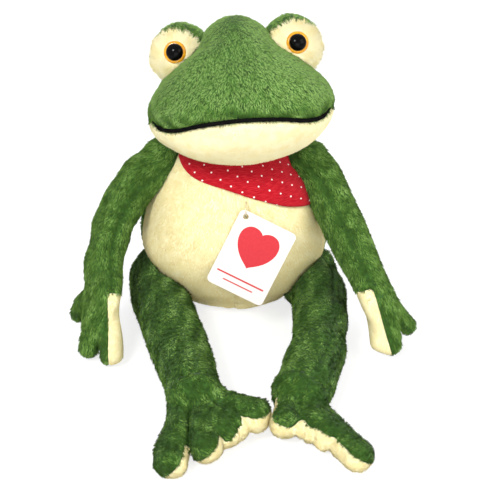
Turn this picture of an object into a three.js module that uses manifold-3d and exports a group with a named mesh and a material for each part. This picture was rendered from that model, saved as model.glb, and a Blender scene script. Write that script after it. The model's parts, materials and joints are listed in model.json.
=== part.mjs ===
// Seated plush frog with a dotted neckerchief and a card tag. Millimetres, +Z up.
// The frog faces -Y and sits on z = 0. Left and right are the frog's own, so its left side is +X.
import * as THREE from 'three';
import { mergeVertices } from 'three/addons/utils/BufferGeometryUtils.js';
import Module from 'manifold-3d';

const wasm = await Module();
wasm.setup();

// Fabric and fits
const plush = 2.2; // plush skin with its short pile
const seam = 0.3; // gap left between two sewn or touching pieces
const sliver = 0.05; // facets flatter than this are joined
const plushSliver = 0.1; // the same for plush covers
const socketRoom = 2; // the body's stuffing stays this far from the sockets
const fillGap = 0.6; // gap between a cover and its stuffing
const fillSliver = 0.1; // the same for stuffing
const turnGap = 0.8; // gap left between a limb or the head and the body as it turns
const neckGap = 0.4; // gap between the head and what it rests on
const degrees = Math.PI / 180;
const weld = 2e-3; // points closer than this are one
const beyond = 20; // cutting forms reach this far past what they cut
const blockSize = 400; // edge of a block that is larger than the whole toy
const halvings = 30; // a height is found on a curve by halving this many times
const xAxis = new THREE.Vector3(1, 0, 0);

// Body: half sizes at heights above the seat
const bodyRings = [
  { height: 9, halfWidth: 41, halfDepth: 29 },
  { height: 24, halfWidth: 54, halfDepth: 43 },
  { height: 44, halfWidth: 62, halfDepth: 52 },
  { height: 64, halfWidth: 61, halfDepth: 51 },
  { height: 84, halfWidth: 54, halfDepth: 45 },
  { height: 101, halfWidth: 43, halfDepth: 36 },
  { height: 114, halfWidth: 30, halfDepth: 26 },
];
const bodyBottomCap = 11.5; // the seat bulges 2.5 mm below the floor before it is cut flat
const bodyTopCap = 8;
const bodyLean = 8 * degrees;
const bodySetBack = -2; // y of the seat's centre
const tuck = { back: 5, height: 34 }; // below this height the body curves back, by so much at the seat
const sideSeamOffset = -8; // the side seams lie this far behind the body's middle
const pelletBag = { halfWidth: 27, halfDepth: 23, halfHeight: 12, flat: 1 }; // its bottom is flattened

// Head, in its own frame: x to the frog's left, y to the back, z up
const headCentre = { x: 4.6, forward: 8, height: 155.2 };
const headTilt = 25 * degrees; // the face looks up
const headRoll = 4.5 * degrees; // the right side hangs lower
const muzzle = { at: [0, -8, -10], half: [59, 44, 35] };
const brow = { at: [0, -4, 6], half: [42, 42, 27] };
const crown = { at: [0, 0, 8], half: [29, 38, 41] };
const skull = { at: [0, 8, 0], half: [50, 34, 34] };
const neckRise = 4; // the neck's joint lies this far above the body's highest ring
const mouthLine = [[0, -17.4], [22, -18.4], [40, -20.3], [50, -18.5], [56, -12.5]]; // x, z
const mouthEnd = 55; // the piping ends this far out
const jawBack = 16; // the jaw panel ends this far behind the head's centre
const pipingRadius = 1.3;
const pipingProud = 0.4; // the piping's middle stands this far out of the plush

// Eyes
const mound = { at: [34.7, 2, 27.4], half: [19.4, 17, 19.6] };
const patchFacing = [0.42, -0.8, -0.38]; // the cream patch faces out, forward and down
const patchSetIn = 4; // from the mound's centre to the patch's seam
const eye = { out: 38.2, up: 28.2, radius: 7, rimThick: 1.6, bevel: 0.5, sink: 1 };
const pupil = { radius: 5.4, rise: 3.6 };
const eyeTurn = 6 * degrees; // each eye looks a little outwards
const stem = { radius: 1.7, length: 13 };
const washer = { radius: 5.5, thick: 1.4, bevel: 0.3, back: 2.5, play: 0.2 };

// Facets round a form, along it and over its ends; covers are finer than what is inside them
const facets = {
  body: { round: 20, along: 8, cap: 3 },
  bodyInside: { round: 12, along: 5, cap: 3 },
  bag: 12,
  arm: { round: 10, along: 7 },
  armInside: { round: 6, along: 4 },
  leg: { round: 12, along: 7 },
  legInside: { round: 8, along: 4 },
  digit: { round: 8, along: 2 },
  digitInside: { round: 6, along: 2 },
  limbCap: 2,
  ball: 16,
  looseSocket: 10,
  mouth: 10,
  head: 16,
  headInside: 10,
  mound: 14,
  moundInside: 8,
  moundRoom: 12,
  piping: { round: 6, along: 20 },
  pupil: { round: 14, cap: 4 },
  iris: 16,
  irisRoom: 24,
  stemRoom: 16,
  washer: 10,
  washerRoom: 16,
  scarf: { round: 30, down: 4 },
  knot: 12,
  tail: { round: 6, along: 4 },
  loop: { round: 5, along: 16 },
  cardCorner: 4,
};
const sweepSteps = 4; // a turning body is swept in this many steps

// How far each joint turns, in degrees from rest; a positive turn lowers a limb
const joints = {
  shoulder: { from: -60, to: 40 },
  hip: { from: -25, to: 15 },
  neck: { from: -25, to: 25 },
};

// Limbs: x is outwards, from the joint; half sizes are across and through the limb
const shoulder = { out: 3, back: 8, height: 100, radius: 15 };
const hip = { sink: 2, forward: 6, height: 20, radius: 20 };
const palmFacing = [-0.8, 0.5, -0.33]; // the palm looks in, back and down
const palmSetIn = -1.8; // the palm's seam lies this far behind the hand's middle
const mouthShare = { radius: 0.45, inwards: 1.2, outwards: 0.5 }; // a limb's open end, in radii of its ball
const armAngle = 45; // the arms lie this many degrees forward of hanging straight down
const armLength = 150;
const swingRings = 15; // distances from the shoulder at which the body's reach is measured
const swingStep = 5; // degrees between the places where it is measured
const armCaps = { start: 3, end: 6 }; // how far the arm's rounded ends stand out
const legCaps = { start: 4, end: 12 };
const digitForm = { // a finger's or toe's sizes at its root and middle, in its sizes at the tip
  rootAcross: 0.8, rootThrough: 0.9, middleAcross: 0.92, middleAt: 0.55, rootCap: 3, tipCap: 0.8,
};
const palmStart = 6; // the palm panel starts this far above the wrist
const ankleSetBack = 2; // the foot's top starts this far above the ankle
const soleRise = 2.5; // the sole's seam lies this far above the toes' middle line
const soleFacing = [-0.35, -0.75, -0.56]; // at the tips the sole shows in, forward and down
const soleTip = { on: 1.5, up: 3 }; // where its seam crosses a toe, from the tip's middle

const arms = [
  {
    name: 'right', side: -1, reach: [
      { at: [0, 0, 0], across: 15, through: 15 },
      { at: [15, -10, -10], across: 14.5, through: 14.5 },
      { at: [27, -25, -23], across: 13.5, through: 13.5 },
      { at: [34, -44, -37], across: 12.5, through: 12.5 },
      { at: [36, -59, -49], across: 13.5, through: 12 },
      { at: [37, -73, -62], across: 16, through: 10 },
      { at: [39.5, -80, -78], across: 12.5, through: 8.5 },
    ], fingers: [
      { from: [44, -68, -60], to: [56, -53, -86], across: 6, through: 5.5 },
      { from: [42, -76, -66], to: [45, -85, -92], across: 7.5, through: 6.5 },
      { from: [32.5, -78, -66], to: [30.5, -93, -93], across: 8, through: 8 },
    ],
  },
  {
    name: 'left', side: 1, reach: [
      { at: [0, 0, 0], across: 15, through: 15 },
      { at: [11.5, -10, -10], across: 14.5, through: 14.5 },
      { at: [20, -25, -23], across: 14, through: 14 },
      { at: [29, -44, -37], across: 13, through: 13 },
      { at: [37, -58, -48], across: 13.5, through: 12 },
      { at: [44.5, -71, -60], across: 15, through: 9.5 },
      { at: [50, -78, -77], across: 11.5, through: 8 },
    ], fingers: [
      { from: [49, -71, -62], to: [67.5, -64, -89], across: 6.5, through: 6 },
      { from: [51, -75, -66], to: [54.5, -85, -90], across: 7, through: 6.5 },
      { from: [44.5, -76, -66], to: [48, -83, -89], across: 7.5, through: 7.5 },
    ],
  },
];

const legs = [
  {
    name: 'right', side: -1, reach: [
      { at: [0, 0, 0], across: 20, through: 20 },
      { at: [-0.5, -25, -1.5], across: 19.5, through: 19 },
      { at: [-7, -52, -2], across: 18.5, through: 18.5 },
      { at: [-13, -78, -2], across: 18, through: 18 },
      { at: [-23, -116, -2], across: 17, through: 17.5 },
      { at: [-27.5, -138, -3], across: 16.5, through: 17 },
    ], toes: [
      { from: [-20.5, -137, -7], to: [-15, -191, -11], across: 10.5, through: 9.5 },
      { from: [-30, -138, -7], to: [-35, -181, -8], across: 10.5, through: 10 },
      { from: [-34, -136, -6], to: [-65, -154, -4], across: 9.6, through: 10.5 },
      { from: [-30, -134, -6], to: [-45, -165, -7], across: 14.5, through: 10 },
    ],
  },
  {
    name: 'left', side: 1, reach: [
      { at: [0, 0, 0], across: 20, through: 20 },
      { at: [7.5, -25, -1.5], across: 18, through: 19 },
      { at: [6.3, -68, -2], across: 16.8, through: 18 },
      { at: [3.5, -96, -2], across: 17, through: 18 },
      { at: [-2.5, -118, -2], across: 17, through: 17.5 },
      { at: [-8.5, -136, -3], across: 16.5, through: 17 },
    ], toes: [
      { from: [-8, -134, -7], to: [23.5, -185, -11], across: 10, through: 9.5 },
      { from: [-8, -136, -7], to: [8.5, -169, -8], across: 10, through: 10 },
      { from: [-12.5, -136, -6], to: [-17, -160, -6], across: 9.6, through: 10.5 },
      { from: [-8, -134, -6], to: [0, -160, -7], across: 14, through: 10 },
    ],
  },
];

// Neckerchief: the height of its lower edge at angles round the neck, 0 at the left and -90 in front
const scarf = { thick: 1.4, clear: 0.5, top: 114 };
const scarfEdge = [
  [-180, 109], [-155, 107], [-125, 101], [-96, 97], [-73, 91], [-50, 83.5], [-28, 79], [-23, 86],
  [-17, 99], [-6, 107], [40, 110], [90, 110], [140, 110],
];
const scarfFold = { swell: 2.2, angle: -42, spread: 18 };
const knot = { half: [9, 6, 6], height: 111 };
const tail = { // the two ends of the tied cloth: half widths at the knot and the tip, and the tips' rounding
  length: 26, thick: 2.4, apart: 3, halfWidth: { knot: 4.2, tip: 7.5 }, splay: 28 * degrees,
  off: 2.5, lift: 1, stations: 4, knotCap: 1, tipCap: 1.5, lean: 0.3,
};

// Tag, its loop and the sewn-in label
const tag = { width: 39.8, length: 52.4, thick: 0.6, corner: 3.2, holeRadius: 1.8, holeIn: 4.7, holeDown: 3.8 };
const tagHole = { x: 8.4, height: 83, clear: 3.5 };
const tagTurn = 26.6 * degrees; // how far the card hangs turned from upright
const tagSlope = 19 * degrees; // it leans back on the belly
const loop = { radius: 0.5, halfLength: 5, halfWidth: 3.4, tilt: 52 * degrees };
const label = { width: 14, length: 19, thick: 0.8, height: 37 };

const fabric = (color, roughness = 0.95) => new THREE.MeshStandardMaterial({ color, roughness, metalness: 0 });
const green = fabric(0x5d8a45);
const cream = fabric(0xf6edb8);
const red = fabric(0xc4142c, 0.85);
const black = fabric(0x111111, 0.8);
const fill = fabric(0xf2f2ee, 1);
const card = fabric(0xfbf7f4, 0.6);
const amber = fabric(0xe8951a, 0.2);
const gloss = fabric(0x060606, 0.08);
const nylon = fabric(0xe6ecee, 0.3);
const plastic = fabric(0xe9e9e4, 0.5);

// A closed mesh as a solid
function solid(geometry) {
  geometry.deleteAttribute('normal');
  geometry.deleteAttribute('uv');
  const merged = mergeVertices(geometry, weld);
  return new wasm.Manifold(new wasm.Mesh({
    numProp: 3,
    vertProperties: new Float32Array(merged.attributes.position.array),
    triVerts: new Uint32Array(merged.index.array),
  }));
}

function rawGeometry(shape) {
  const mesh = shape.getMesh();
  const geometry = new THREE.BufferGeometry();
  geometry.setAttribute('position', new THREE.BufferAttribute(new Float32Array(mesh.vertProperties), 3));
  geometry.setIndex(new THREE.BufferAttribute(new Uint32Array(mesh.triVerts), 1));
  return geometry;
}

// A solid as a geometry: slivers of the cuts are simplified away and the largest body is kept
function geometryOf(shape, flat) {
  const simple = solid(rawGeometry(shape.simplify(flat)));
  const bodies = simple.decompose().sort((a, b) => b.volume() - a.volume());
  const geometry = rawGeometry(bodies[0]);
  geometry.computeVertexNormals();
  return geometry;
}

function moved(shape, matrix) {
  return shape.transform(matrix.elements);
}

function union(shapes) {
  return shapes.reduce((whole, shape) => whole.add(shape));
}

// A closed form that swells and tapers along a smooth line of stations, with rounded ends
function swell(stations, { mesh, grow = 0, startCap, endCap, thin = new THREE.Vector3(0, 0, 1) }) {
  const line = new THREE.CatmullRomCurve3(stations.map((s) => new THREE.Vector3(...s.at)));
  const sizes = new THREE.CatmullRomCurve3(stations.map((s) => new THREE.Vector3(s.across, s.through, 0)));
  const rings = [];
  const addRing = (t, shift, share) => {
    const along = line.getTangent(t);
    const across = new THREE.Vector3().crossVectors(along, thin).normalize();
    const through = new THREE.Vector3().crossVectors(across, along);
    const centre = line.getPoint(t).addScaledVector(along, shift);
    const size = sizes.getPoint(t).addScalar(grow).multiplyScalar(share);
    const ring = [];
    for (let i = 0; i < mesh.round; i += 1) {
      const angle = (i / mesh.round) * 2 * Math.PI;
      ring.push(centre.clone()
        .addScaledVector(across, size.x * Math.cos(angle))
        .addScaledVector(through, size.y * Math.sin(angle)));
    }
    rings.push(ring);
  };
  for (let j = 1; j < facets.limbCap; j += 1) {
    const angle = (j / facets.limbCap) * (Math.PI / 2);
    addRing(0, -(startCap + grow) * Math.cos(angle), Math.sin(angle));
  }
  for (let k = 0; k <= mesh.along; k += 1) {
    addRing(k / mesh.along, 0, 1);
  }
  for (let j = facets.limbCap - 1; j > 0; j -= 1) {
    const angle = (j / facets.limbCap) * (Math.PI / 2);
    addRing(1, (endCap + grow) * Math.cos(angle), Math.sin(angle));
  }
  const start = line.getPoint(0).addScaledVector(line.getTangent(0), -(startCap + grow));
  const end = line.getPoint(1).addScaledVector(line.getTangent(1), endCap + grow);
  return closedRings(rings, start, end);
}

// Joins rings of points into one closed solid with a point at each end
function closedRings(rings, start, end) {
  const sides = rings[0].length;
  const points = [start, ...rings.flat(), end];
  const faces = [];
  const index = (ring, i) => 1 + ring * sides + (i % sides);
  const last = points.length - 1;
  for (let i = 0; i < sides; i += 1) {
    faces.push(0, index(0, i + 1), index(0, i));
    for (let ring = 0; ring < rings.length - 1; ring += 1) {
      faces.push(index(ring, i), index(ring, i + 1), index(ring + 1, i));
      faces.push(index(ring, i + 1), index(ring + 1, i + 1), index(ring + 1, i));
    }
    faces.push(last, index(rings.length - 1, i), index(rings.length - 1, i + 1));
  }
  return outwardSolid(new THREE.BufferGeometry().setFromPoints(points), faces);
}

// A solid whose faces all point outwards, whichever way round they were listed
function outwardSolid(geometry, faces) {
  geometry.setIndex(faces);
  const shape = solid(geometry);
  if (shape.volume() > 0) {
    return shape;
  }
  const turned = [];
  for (let i = 0; i < faces.length; i += 3) {
    turned.push(faces[i + 1], faces[i], faces[i + 2]);
  }
  geometry.setIndex(turned);
  return solid(geometry);
}

function ellipsoid({ at, half }, grow, segments, side = 1) {
  const geometry = new THREE.SphereGeometry(1, segments, Math.round(segments / 2));
  geometry.rotateX(Math.PI / 2);
  geometry.scale(half[0] + grow, half[1] + grow, half[2] + grow);
  geometry.translate(side * at[0], at[1], at[2]);
  return solid(geometry);
}

// A large block whose face passes through a point, looking along a direction
function halfSpace(point, direction) {
  const geometry = new THREE.BoxGeometry(blockSize, blockSize, blockSize);
  geometry.translate(0, 0, blockSize / 2);
  const turn = new THREE.Quaternion();
  turn.setFromUnitVectors(new THREE.Vector3(0, 0, 1), direction.clone().normalize());
  geometry.applyQuaternion(turn);
  geometry.translate(point.x, point.y, point.z);
  return solid(geometry);
}

// Body
const bodyCurve = new THREE.CatmullRomCurve3(
  bodyRings.map((ring) => new THREE.Vector3(ring.halfWidth, ring.halfDepth, ring.height)),
);

function bodyCentreY(height) {
  const low = Math.max(0, 1 - height / tuck.height);
  return bodySetBack + height * Math.tan(bodyLean) + tuck.back * low ** 2;
}

// The body's half sizes at a height, found on the same curve as its form
function bodyAt(height) {
  const point = new THREE.Vector3();
  let low = 0;
  let high = 1;
  for (let i = 0; i < halvings; i += 1) {
    const middle = (low + high) / 2;
    bodyCurve.getPoint(middle, point);
    if (point.z < height) {
      low = middle;
    } else {
      high = middle;
    }
  }
  return { halfWidth: point.x, halfDepth: point.y };
}

// The body as level rings, so that what lies on it can be placed by height and angle
function bodyForm(grow, mesh = facets.body) {
  const lowest = bodyRings[0].height;
  const highest = bodyRings[bodyRings.length - 1].height;
  const ringAt = (size, height, share) => Array.from({ length: mesh.round }, (_, i) => {
    const angle = (i / mesh.round) * 2 * Math.PI;
    return new THREE.Vector3((size.x + grow) * share * Math.cos(angle),
      bodyCentreY(height) + (size.y + grow) * share * Math.sin(angle), height);
  });
  const rings = [];
  for (let j = 1; j < mesh.cap; j += 1) {
    const angle = (j / mesh.cap) * (Math.PI / 2);
    const height = lowest - (bodyBottomCap + grow) * Math.cos(angle);
    rings.push(ringAt(bodyCurve.getPoint(0), height, Math.sin(angle)));
  }
  for (let k = 0; k <= mesh.along; k += 1) {
    const size = bodyCurve.getPoint(k / mesh.along);
    rings.push(ringAt(size, size.z, 1));
  }
  for (let j = mesh.cap - 1; j > 0; j -= 1) {
    const angle = (j / mesh.cap) * (Math.PI / 2);
    const height = highest + (bodyTopCap + grow) * Math.cos(angle);
    rings.push(ringAt(bodyCurve.getPoint(1), height, Math.sin(angle)));
  }
  const endAt = (height) => new THREE.Vector3(0, bodyCentreY(height), height);
  return closedRings(rings, endAt(lowest - bodyBottomCap - grow), endAt(highest + bodyTopCap + grow));
}

const aboveFloor = halfSpace(new THREE.Vector3(0, 0, 0), new THREE.Vector3(0, 0, 1));
const aboveSkin = halfSpace(new THREE.Vector3(0, 0, plush), new THREE.Vector3(0, 0, 1));
const aboveFilling = halfSpace(new THREE.Vector3(0, 0, plush + fillGap), new THREE.Vector3(0, 0, 1));
const bodyOuter = bodyForm(0).intersect(aboveFloor);
const bodyHollow = bodyForm(-plush, facets.bodyInside).intersect(aboveSkin);
const bodyFilling = bodyForm(-plush - fillGap, facets.bodyInside).intersect(aboveFilling);

// Joint centres
const shoulderX = bodyAt(shoulder.height).halfWidth + shoulder.out;
const shoulderAt = (side) => new THREE.Vector3(side * shoulderX, shoulder.back, shoulder.height);
const hipX = bodyAt(hip.height).halfWidth - hip.sink;
const hipAt = (side) => new THREE.Vector3(side * hipX, -hip.forward, hip.height);

// A ball with its poles along X, the axis that a limb turns about
function ball(centre, radius) {
  const geometry = new THREE.SphereGeometry(radius, facets.ball, facets.ball / 2);
  geometry.rotateZ(Math.PI / 2);
  geometry.translate(...centre.toArray());
  return solid(geometry);
}

// A socket's facets stay clear of the corners of the ball that turns in it
const socketRadius = (radius) => radius / Math.cos(Math.PI / facets.ball) + seam;
const socketsFor = (socket) => union([-1, 1].flatMap((side) => [
  socket(shoulderAt(side), socketRadius(shoulder.radius)),
  socket(hipAt(side), socketRadius(hip.radius)),
]));
const sockets = socketsFor(ball);
const looseSockets = socketsFor((centre, radius) => ellipsoid({
  at: centre.toArray(), half: [radius, radius, radius],
}, socketRoom, facets.looseSocket));

// Everything that a turning body sweeps, seen from the piece that turns about an axis
function swept(shape, centre, axis, from, to) {
  const copies = [];
  for (let i = 0; i <= sweepSteps; i += 1) {
    const angle = -(from + (i / sweepSteps) * (to - from)) * degrees;
    const matrix = new THREE.Matrix4().makeTranslation(...centre.toArray())
      .multiply(new THREE.Matrix4().makeRotationAxis(axis, angle))
      .multiply(new THREE.Matrix4().makeTranslation(...centre.clone().negate().toArray()));
    copies.push(moved(shape, matrix));
  }
  return union(copies);
}

const flatness = new Map([[green, plushSliver], [cream, plushSliver], [fill, fillSliver]]);
const group = new THREE.Group();
const add = (parent, name, shape, material) => {
  const flat = flatness.get(material) ?? sliver;
  const mesh = new THREE.Mesh(shape.isBufferGeometry ? shape : geometryOf(shape, flat), material);
  mesh.name = name;
  parent.add(mesh);
  return mesh;
};

// Seams between the belly and the back follow the body's lean
const seamLine = new THREE.Vector3(0, bodySetBack + sideSeamOffset, 0);
const backwards = new THREE.Vector3(0, Math.cos(bodyLean), -Math.sin(bodyLean));
const forwards = backwards.clone().negate();
const behindSeam = halfSpace(seamLine.clone().addScaledVector(backwards, seam / 2), backwards);
const beforeSeam = halfSpace(seamLine.clone().addScaledVector(forwards, seam / 2), forwards);

// The point of the belly's front at a height
function bellyFront(height, x = 0) {
  const { halfWidth, halfDepth } = bodyAt(height);
  return bodyCentreY(height) - halfDepth * Math.sqrt(1 - (x / halfWidth) ** 2);
}

// The tag's loop goes through the belly's plush just under the neckerchief and through the card's hole
const tagHoleY = bellyFront(tagHole.height, tagHole.x) - tagHole.clear;
const tagHolePoint = new THREE.Vector3(tagHole.x, tagHoleY, tagHole.height);

function loopForm(grow) {
  const along = new THREE.Vector3(0, Math.sin(loop.tilt), Math.cos(loop.tilt));
  const across = new THREE.Vector3(0, -Math.cos(loop.tilt), Math.sin(loop.tilt));
  const centre = tagHolePoint.clone().addScaledVector(along, loop.halfLength);
  const points = [];
  for (let i = 0; i < facets.loop.along; i += 1) {
    const angle = (i / facets.loop.along) * 2 * Math.PI;
    points.push(centre.clone()
      .addScaledVector(along, loop.halfLength * Math.cos(angle))
      .addScaledVector(across, loop.halfWidth * Math.sin(angle)));
  }
  return ringSolid(new THREE.CatmullRomCurve3(points, true), loop.radius + grow, facets.loop);
}

// A closed ring of tube along a closed curve that lies in a plane across X
function ringSolid(curve, radius, mesh) {
  const sections = [];
  for (let k = 0; k < mesh.along; k += 1) {
    const centre = curve.getPoint(k / mesh.along);
    const outwards = new THREE.Vector3().crossVectors(curve.getTangent(k / mesh.along), xAxis);
    const section = [];
    for (let i = 0; i < mesh.round; i += 1) {
      const angle = (i / mesh.round) * 2 * Math.PI;
      section.push(centre.clone()
        .addScaledVector(xAxis, radius * Math.cos(angle))
        .addScaledVector(outwards, radius * Math.sin(angle)));
    }
    sections.push(section);
  }
  return closedLoop(sections);
}

// Joins sections in a ring into one closed solid
function closedLoop(sections) {
  const sides = sections[0].length;
  const faces = [];
  const index = (k, i) => (k % sections.length) * sides + (i % sides);
  for (let k = 0; k < sections.length; k += 1) {
    for (let i = 0; i < sides; i += 1) {
      faces.push(index(k, i), index(k, i + 1), index(k + 1, i));
      faces.push(index(k, i + 1), index(k + 1, i + 1), index(k + 1, i));
    }
  }
  return outwardSolid(new THREE.BufferGeometry().setFromPoints(sections.flat()), faces);
}

// Torso pieces
const loopHole = loopForm(seam);
const torsoSkin = bodyOuter.subtract(bodyHollow).subtract(sockets).subtract(loopHole);
add(group, 'back_cover', torsoSkin.intersect(behindSeam), green);
add(group, 'belly_cover', torsoSkin.intersect(beforeSeam), cream);
const bagCentre = plush + fillGap + pelletBag.halfHeight - pelletBag.flat;
const bagForm = (grow) => ellipsoid({
  at: [0, bodyCentreY(bagCentre), bagCentre],
  half: [pelletBag.halfWidth, pelletBag.halfDepth, pelletBag.halfHeight],
}, grow, facets.bag);
add(group, 'seat_pellet_bag', bagForm(0).intersect(aboveFilling), plastic);
add(group, 'body_stuffing', bodyFilling.subtract(looseSockets).subtract(bagForm(fillGap)), fill);

// Limbs: each pivots about its ball, and the rest of it is cut to clear the body as it turns
function limbGroup(centre) {
  const limb = new THREE.Group();
  limb.position.copy(centre);
  group.add(limb);
  return limb;
}

function bodyClearance(centre, joint, gap) {
  const local = bodyForm(gap).translate(...centre.clone().negate().toArray());
  return swept(local, new THREE.Vector3(), xAxis, joint.from, joint.to);
}

// How far the body reaches sideways at a point of its side view
function bodyReach(y, height) {
  const { halfWidth, halfDepth } = bodyAt(height);
  const share = 1 - ((y - bodyCentreY(height)) / halfDepth) ** 2;
  return height < 0 || share < 0 ? 0 : halfWidth * Math.sqrt(share);
}

// The room that the body needs beside a swinging arm: at each distance from the shoulder, as wide as the
// body anywhere along the arm's swing
function swingRoom(side, gap) {
  const { from, to } = joints.shoulder;
  const profile = [[0, -shoulderX]];
  const spacing = armLength / swingRings;
  for (let r = armLength; r >= 0; r -= spacing) {
    const spread = Math.atan2(shoulder.radius, r) / degrees;
    let reach = 0;
    for (let a = armAngle - to - spread; a <= armAngle - from + spread; a += swingStep) {
      const y = shoulder.back - r * Math.sin(a * degrees);
      reach = Math.max(reach, bodyReach(y, shoulder.height - r * Math.cos(a * degrees)));
    }
    if (r === armLength) {
      profile.push([r, -shoulderX]);
    }
    profile.push([r, reach + gap - shoulderX]);
  }
  const geometry = new THREE.LatheGeometry(profile.map(([r, x]) => new THREE.Vector2(r, x)), facets.ball);
  geometry.rotateZ(-Math.PI / 2 * side);
  return solid(geometry);
}

function mirrored(points, side) {
  return points.map((p) => ({ ...p, at: [side * p.at[0], p.at[1], p.at[2]] }));
}

function limbTube({ reach, side }, grow, mesh, caps, thin) {
  return swell(mirrored(reach, side), { mesh, grow, startCap: caps.start, endCap: caps.end, thin });
}

function digit({ from, to, across, through }, side, grow, thin) {
  const a = new THREE.Vector3(side * from[0], from[1], from[2]);
  const b = new THREE.Vector3(side * to[0], to[1], to[2]);
  const { rootAcross, rootThrough, middleAcross, middleAt, rootCap, tipCap } = digitForm;
  const middle = a.clone().lerp(b, middleAt);
  const stations = [
    { at: a.toArray(), across: across * rootAcross, through: through * rootThrough },
    { at: middle.toArray(), across: across * middleAcross, through },
    { at: b.toArray(), across, through },
  ];
  const mesh = grow < 0 ? facets.digitInside : facets.digit;
  return swell(stations, { mesh, grow, startCap: rootCap, endCap: across * tipCap, thin });
}

// The open end of a limb's cover, turned to the body
function limbMouth(side, radius) {
  const length = mouthShare.inwards + mouthShare.outwards;
  const open = radius * mouthShare.radius;
  const geometry = new THREE.CylinderGeometry(open, open, radius * length, facets.mouth);
  geometry.rotateZ(Math.PI / 2);
  geometry.translate(side * radius * (mouthShare.outwards - length / 2), 0, 0);
  return solid(geometry);
}

function station(limb, index) {
  const { at } = limb.reach[index];
  return new THREE.Vector3(limb.side * at[0], at[1], at[2]);
}

for (const arm of arms) {
  const limb = limbGroup(shoulderAt(arm.side));
  const room = (grow) => swingRoom(arm.side, turnGap - grow);
  const facing = new THREE.Vector3(arm.side * palmFacing[0], palmFacing[1], palmFacing[2]).normalize();
  const tube = (grow, mesh) => limbTube(arm, grow, mesh, armCaps, facing).subtract(room(grow));
  const fingers = arm.fingers.map((finger) => digit(finger, arm.side, 0, facing));
  const form = ball(new THREE.Vector3(), shoulder.radius).add(tube(0, facets.arm))
    .add(union(fingers).subtract(room(0)));
  const skin = form.subtract(tube(-plush, facets.armInside)).subtract(limbMouth(arm.side, shoulder.radius));
  const wrist = station(arm, 5);
  const handwards = station(arm, 6).sub(wrist).normalize();
  const palmRegion = (gap) => {
    const palm = halfSpace(wrist.clone().addScaledVector(facing, palmSetIn + gap), facing);
    return palm.intersect(halfSpace(wrist.clone().addScaledVector(handwards, gap - palmStart), handwards));
  };
  add(limb, `${arm.name}_arm_cover`, skin.subtract(palmRegion(-seam / 2)), green);
  add(limb, `${arm.name}_palm`, skin.intersect(palmRegion(seam / 2)), cream);
  add(limb, `${arm.name}_arm_stuffing`, tube(-plush - fillGap, facets.armInside), fill);
}

for (const leg of legs) {
  const limb = limbGroup(hipAt(leg.side));
  const room = (grow) => bodyClearance(limb.position, joints.hip, turnGap - grow);
  const up = new THREE.Vector3(0, 0, 1);
  const facing = new THREE.Vector3(leg.side * soleFacing[0], soleFacing[1], soleFacing[2]).normalize();
  const floor = halfSpace(new THREE.Vector3(0, 0, -hip.height), up);
  const floorIn = (depth) => halfSpace(new THREE.Vector3(0, 0, depth - hip.height), up);
  const tube = (grow, mesh) => limbTube(leg, grow, mesh, legCaps, up).subtract(room(grow));
  const toes = (grow) => leg.toes.map((toe) => digit(toe, leg.side, grow, up));
  const form = ball(new THREE.Vector3(), hip.radius).add(tube(0, facets.leg)).add(union(toes(0)))
    .intersect(floor);
  const inner = (grow) => tube(grow, facets.legInside).add(union(toes(grow))).intersect(floorIn(-grow));
  const skin = form.subtract(inner(-plush)).subtract(limbMouth(leg.side, hip.radius));
  const soleRegion = (gap) => union(leg.toes.map((toe, i) => {
    const from = new THREE.Vector3(leg.side * toe.from[0], toe.from[1], toe.from[2] + soleRise - gap);
    const to = new THREE.Vector3(leg.side * toe.to[0], toe.to[1], toe.to[2] + soleRise - gap);
    const along = to.clone().sub(from);
    const across = new THREE.Vector3().crossVectors(along, up);
    const below = new THREE.Vector3().crossVectors(along, across);
    const tip = new THREE.Vector3(leg.side * toe.to[0], toe.to[1], toe.to[2] + soleTip.up)
      .addScaledVector(along.clone().normalize(), soleTip.on).addScaledVector(facing, gap);
    return toes(1 - gap)[i].intersect(halfSpace(from, below).add(halfSpace(tip, facing)));
  }));
  const ankle = station(leg, 5);
  const footwards = ankle.clone().sub(station(leg, 4)).normalize();
  const ankleSeam = (gap) => ankle.clone().addScaledVector(footwards, gap - ankleSetBack);
  const beyondAnkle = (gap) => halfSpace(ankleSeam(gap), footwards);
  const topSkin = skin.subtract(soleRegion(-seam / 2));
  add(limb, `${leg.name}_leg_cover`, topSkin.subtract(beyondAnkle(-seam / 2)), green);
  add(limb, `${leg.name}_foot_top`, topSkin.intersect(beyondAnkle(seam / 2)), green);
  add(limb, `${leg.name}_sole`, skin.intersect(soleRegion(seam / 2)), cream);
  add(limb, `${leg.name}_leg_stuffing`, inner(-plush - fillGap), fill);
}

// Head
const head = new THREE.Group();
head.position.set(headCentre.x, -headCentre.forward, headCentre.height);
head.rotation.set(-headTilt, -headRoll, 0);
head.updateMatrix();
group.add(head);
const intoHead = head.matrix.clone().invert();
const neckAxis = new THREE.Vector3(0, Math.sin(bodyLean), Math.cos(bodyLean));
const topRing = bodyRings[bodyRings.length - 1];
const neckAt = new THREE.Vector3(0, bodyCentreY(topRing.height + neckRise), topRing.height + neckRise);
const neckReach = Math.hypot(bodyTopCap * Math.cos(bodyLean), topRing.halfDepth * Math.sin(bodyLean)) + neckGap;
const neckTop = new THREE.Vector3(0, bodyCentreY(topRing.height), topRing.height)
  .addScaledVector(neckAxis, neckReach);
const neckForm = bodyForm(scarf.clear + scarf.thick + neckGap)
  .intersect(halfSpace(neckTop, neckAxis.clone().negate()));
const bodyTurning = swept(neckForm, neckAt, neckAxis, joints.neck.from, joints.neck.to);
const headClear = moved(bodyTurning, intoHead);
const headForms = [muzzle, brow, crown, skull];
const headForm = (grow, segments) => union(headForms.map((form) => ellipsoid(form, grow, segments)));
const moundForm = (side, grow, segments) => ellipsoid(mound, grow, segments, side);
const mounds = (grow, segments) => moundForm(-1, grow, segments).add(moundForm(1, grow, segments));

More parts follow.
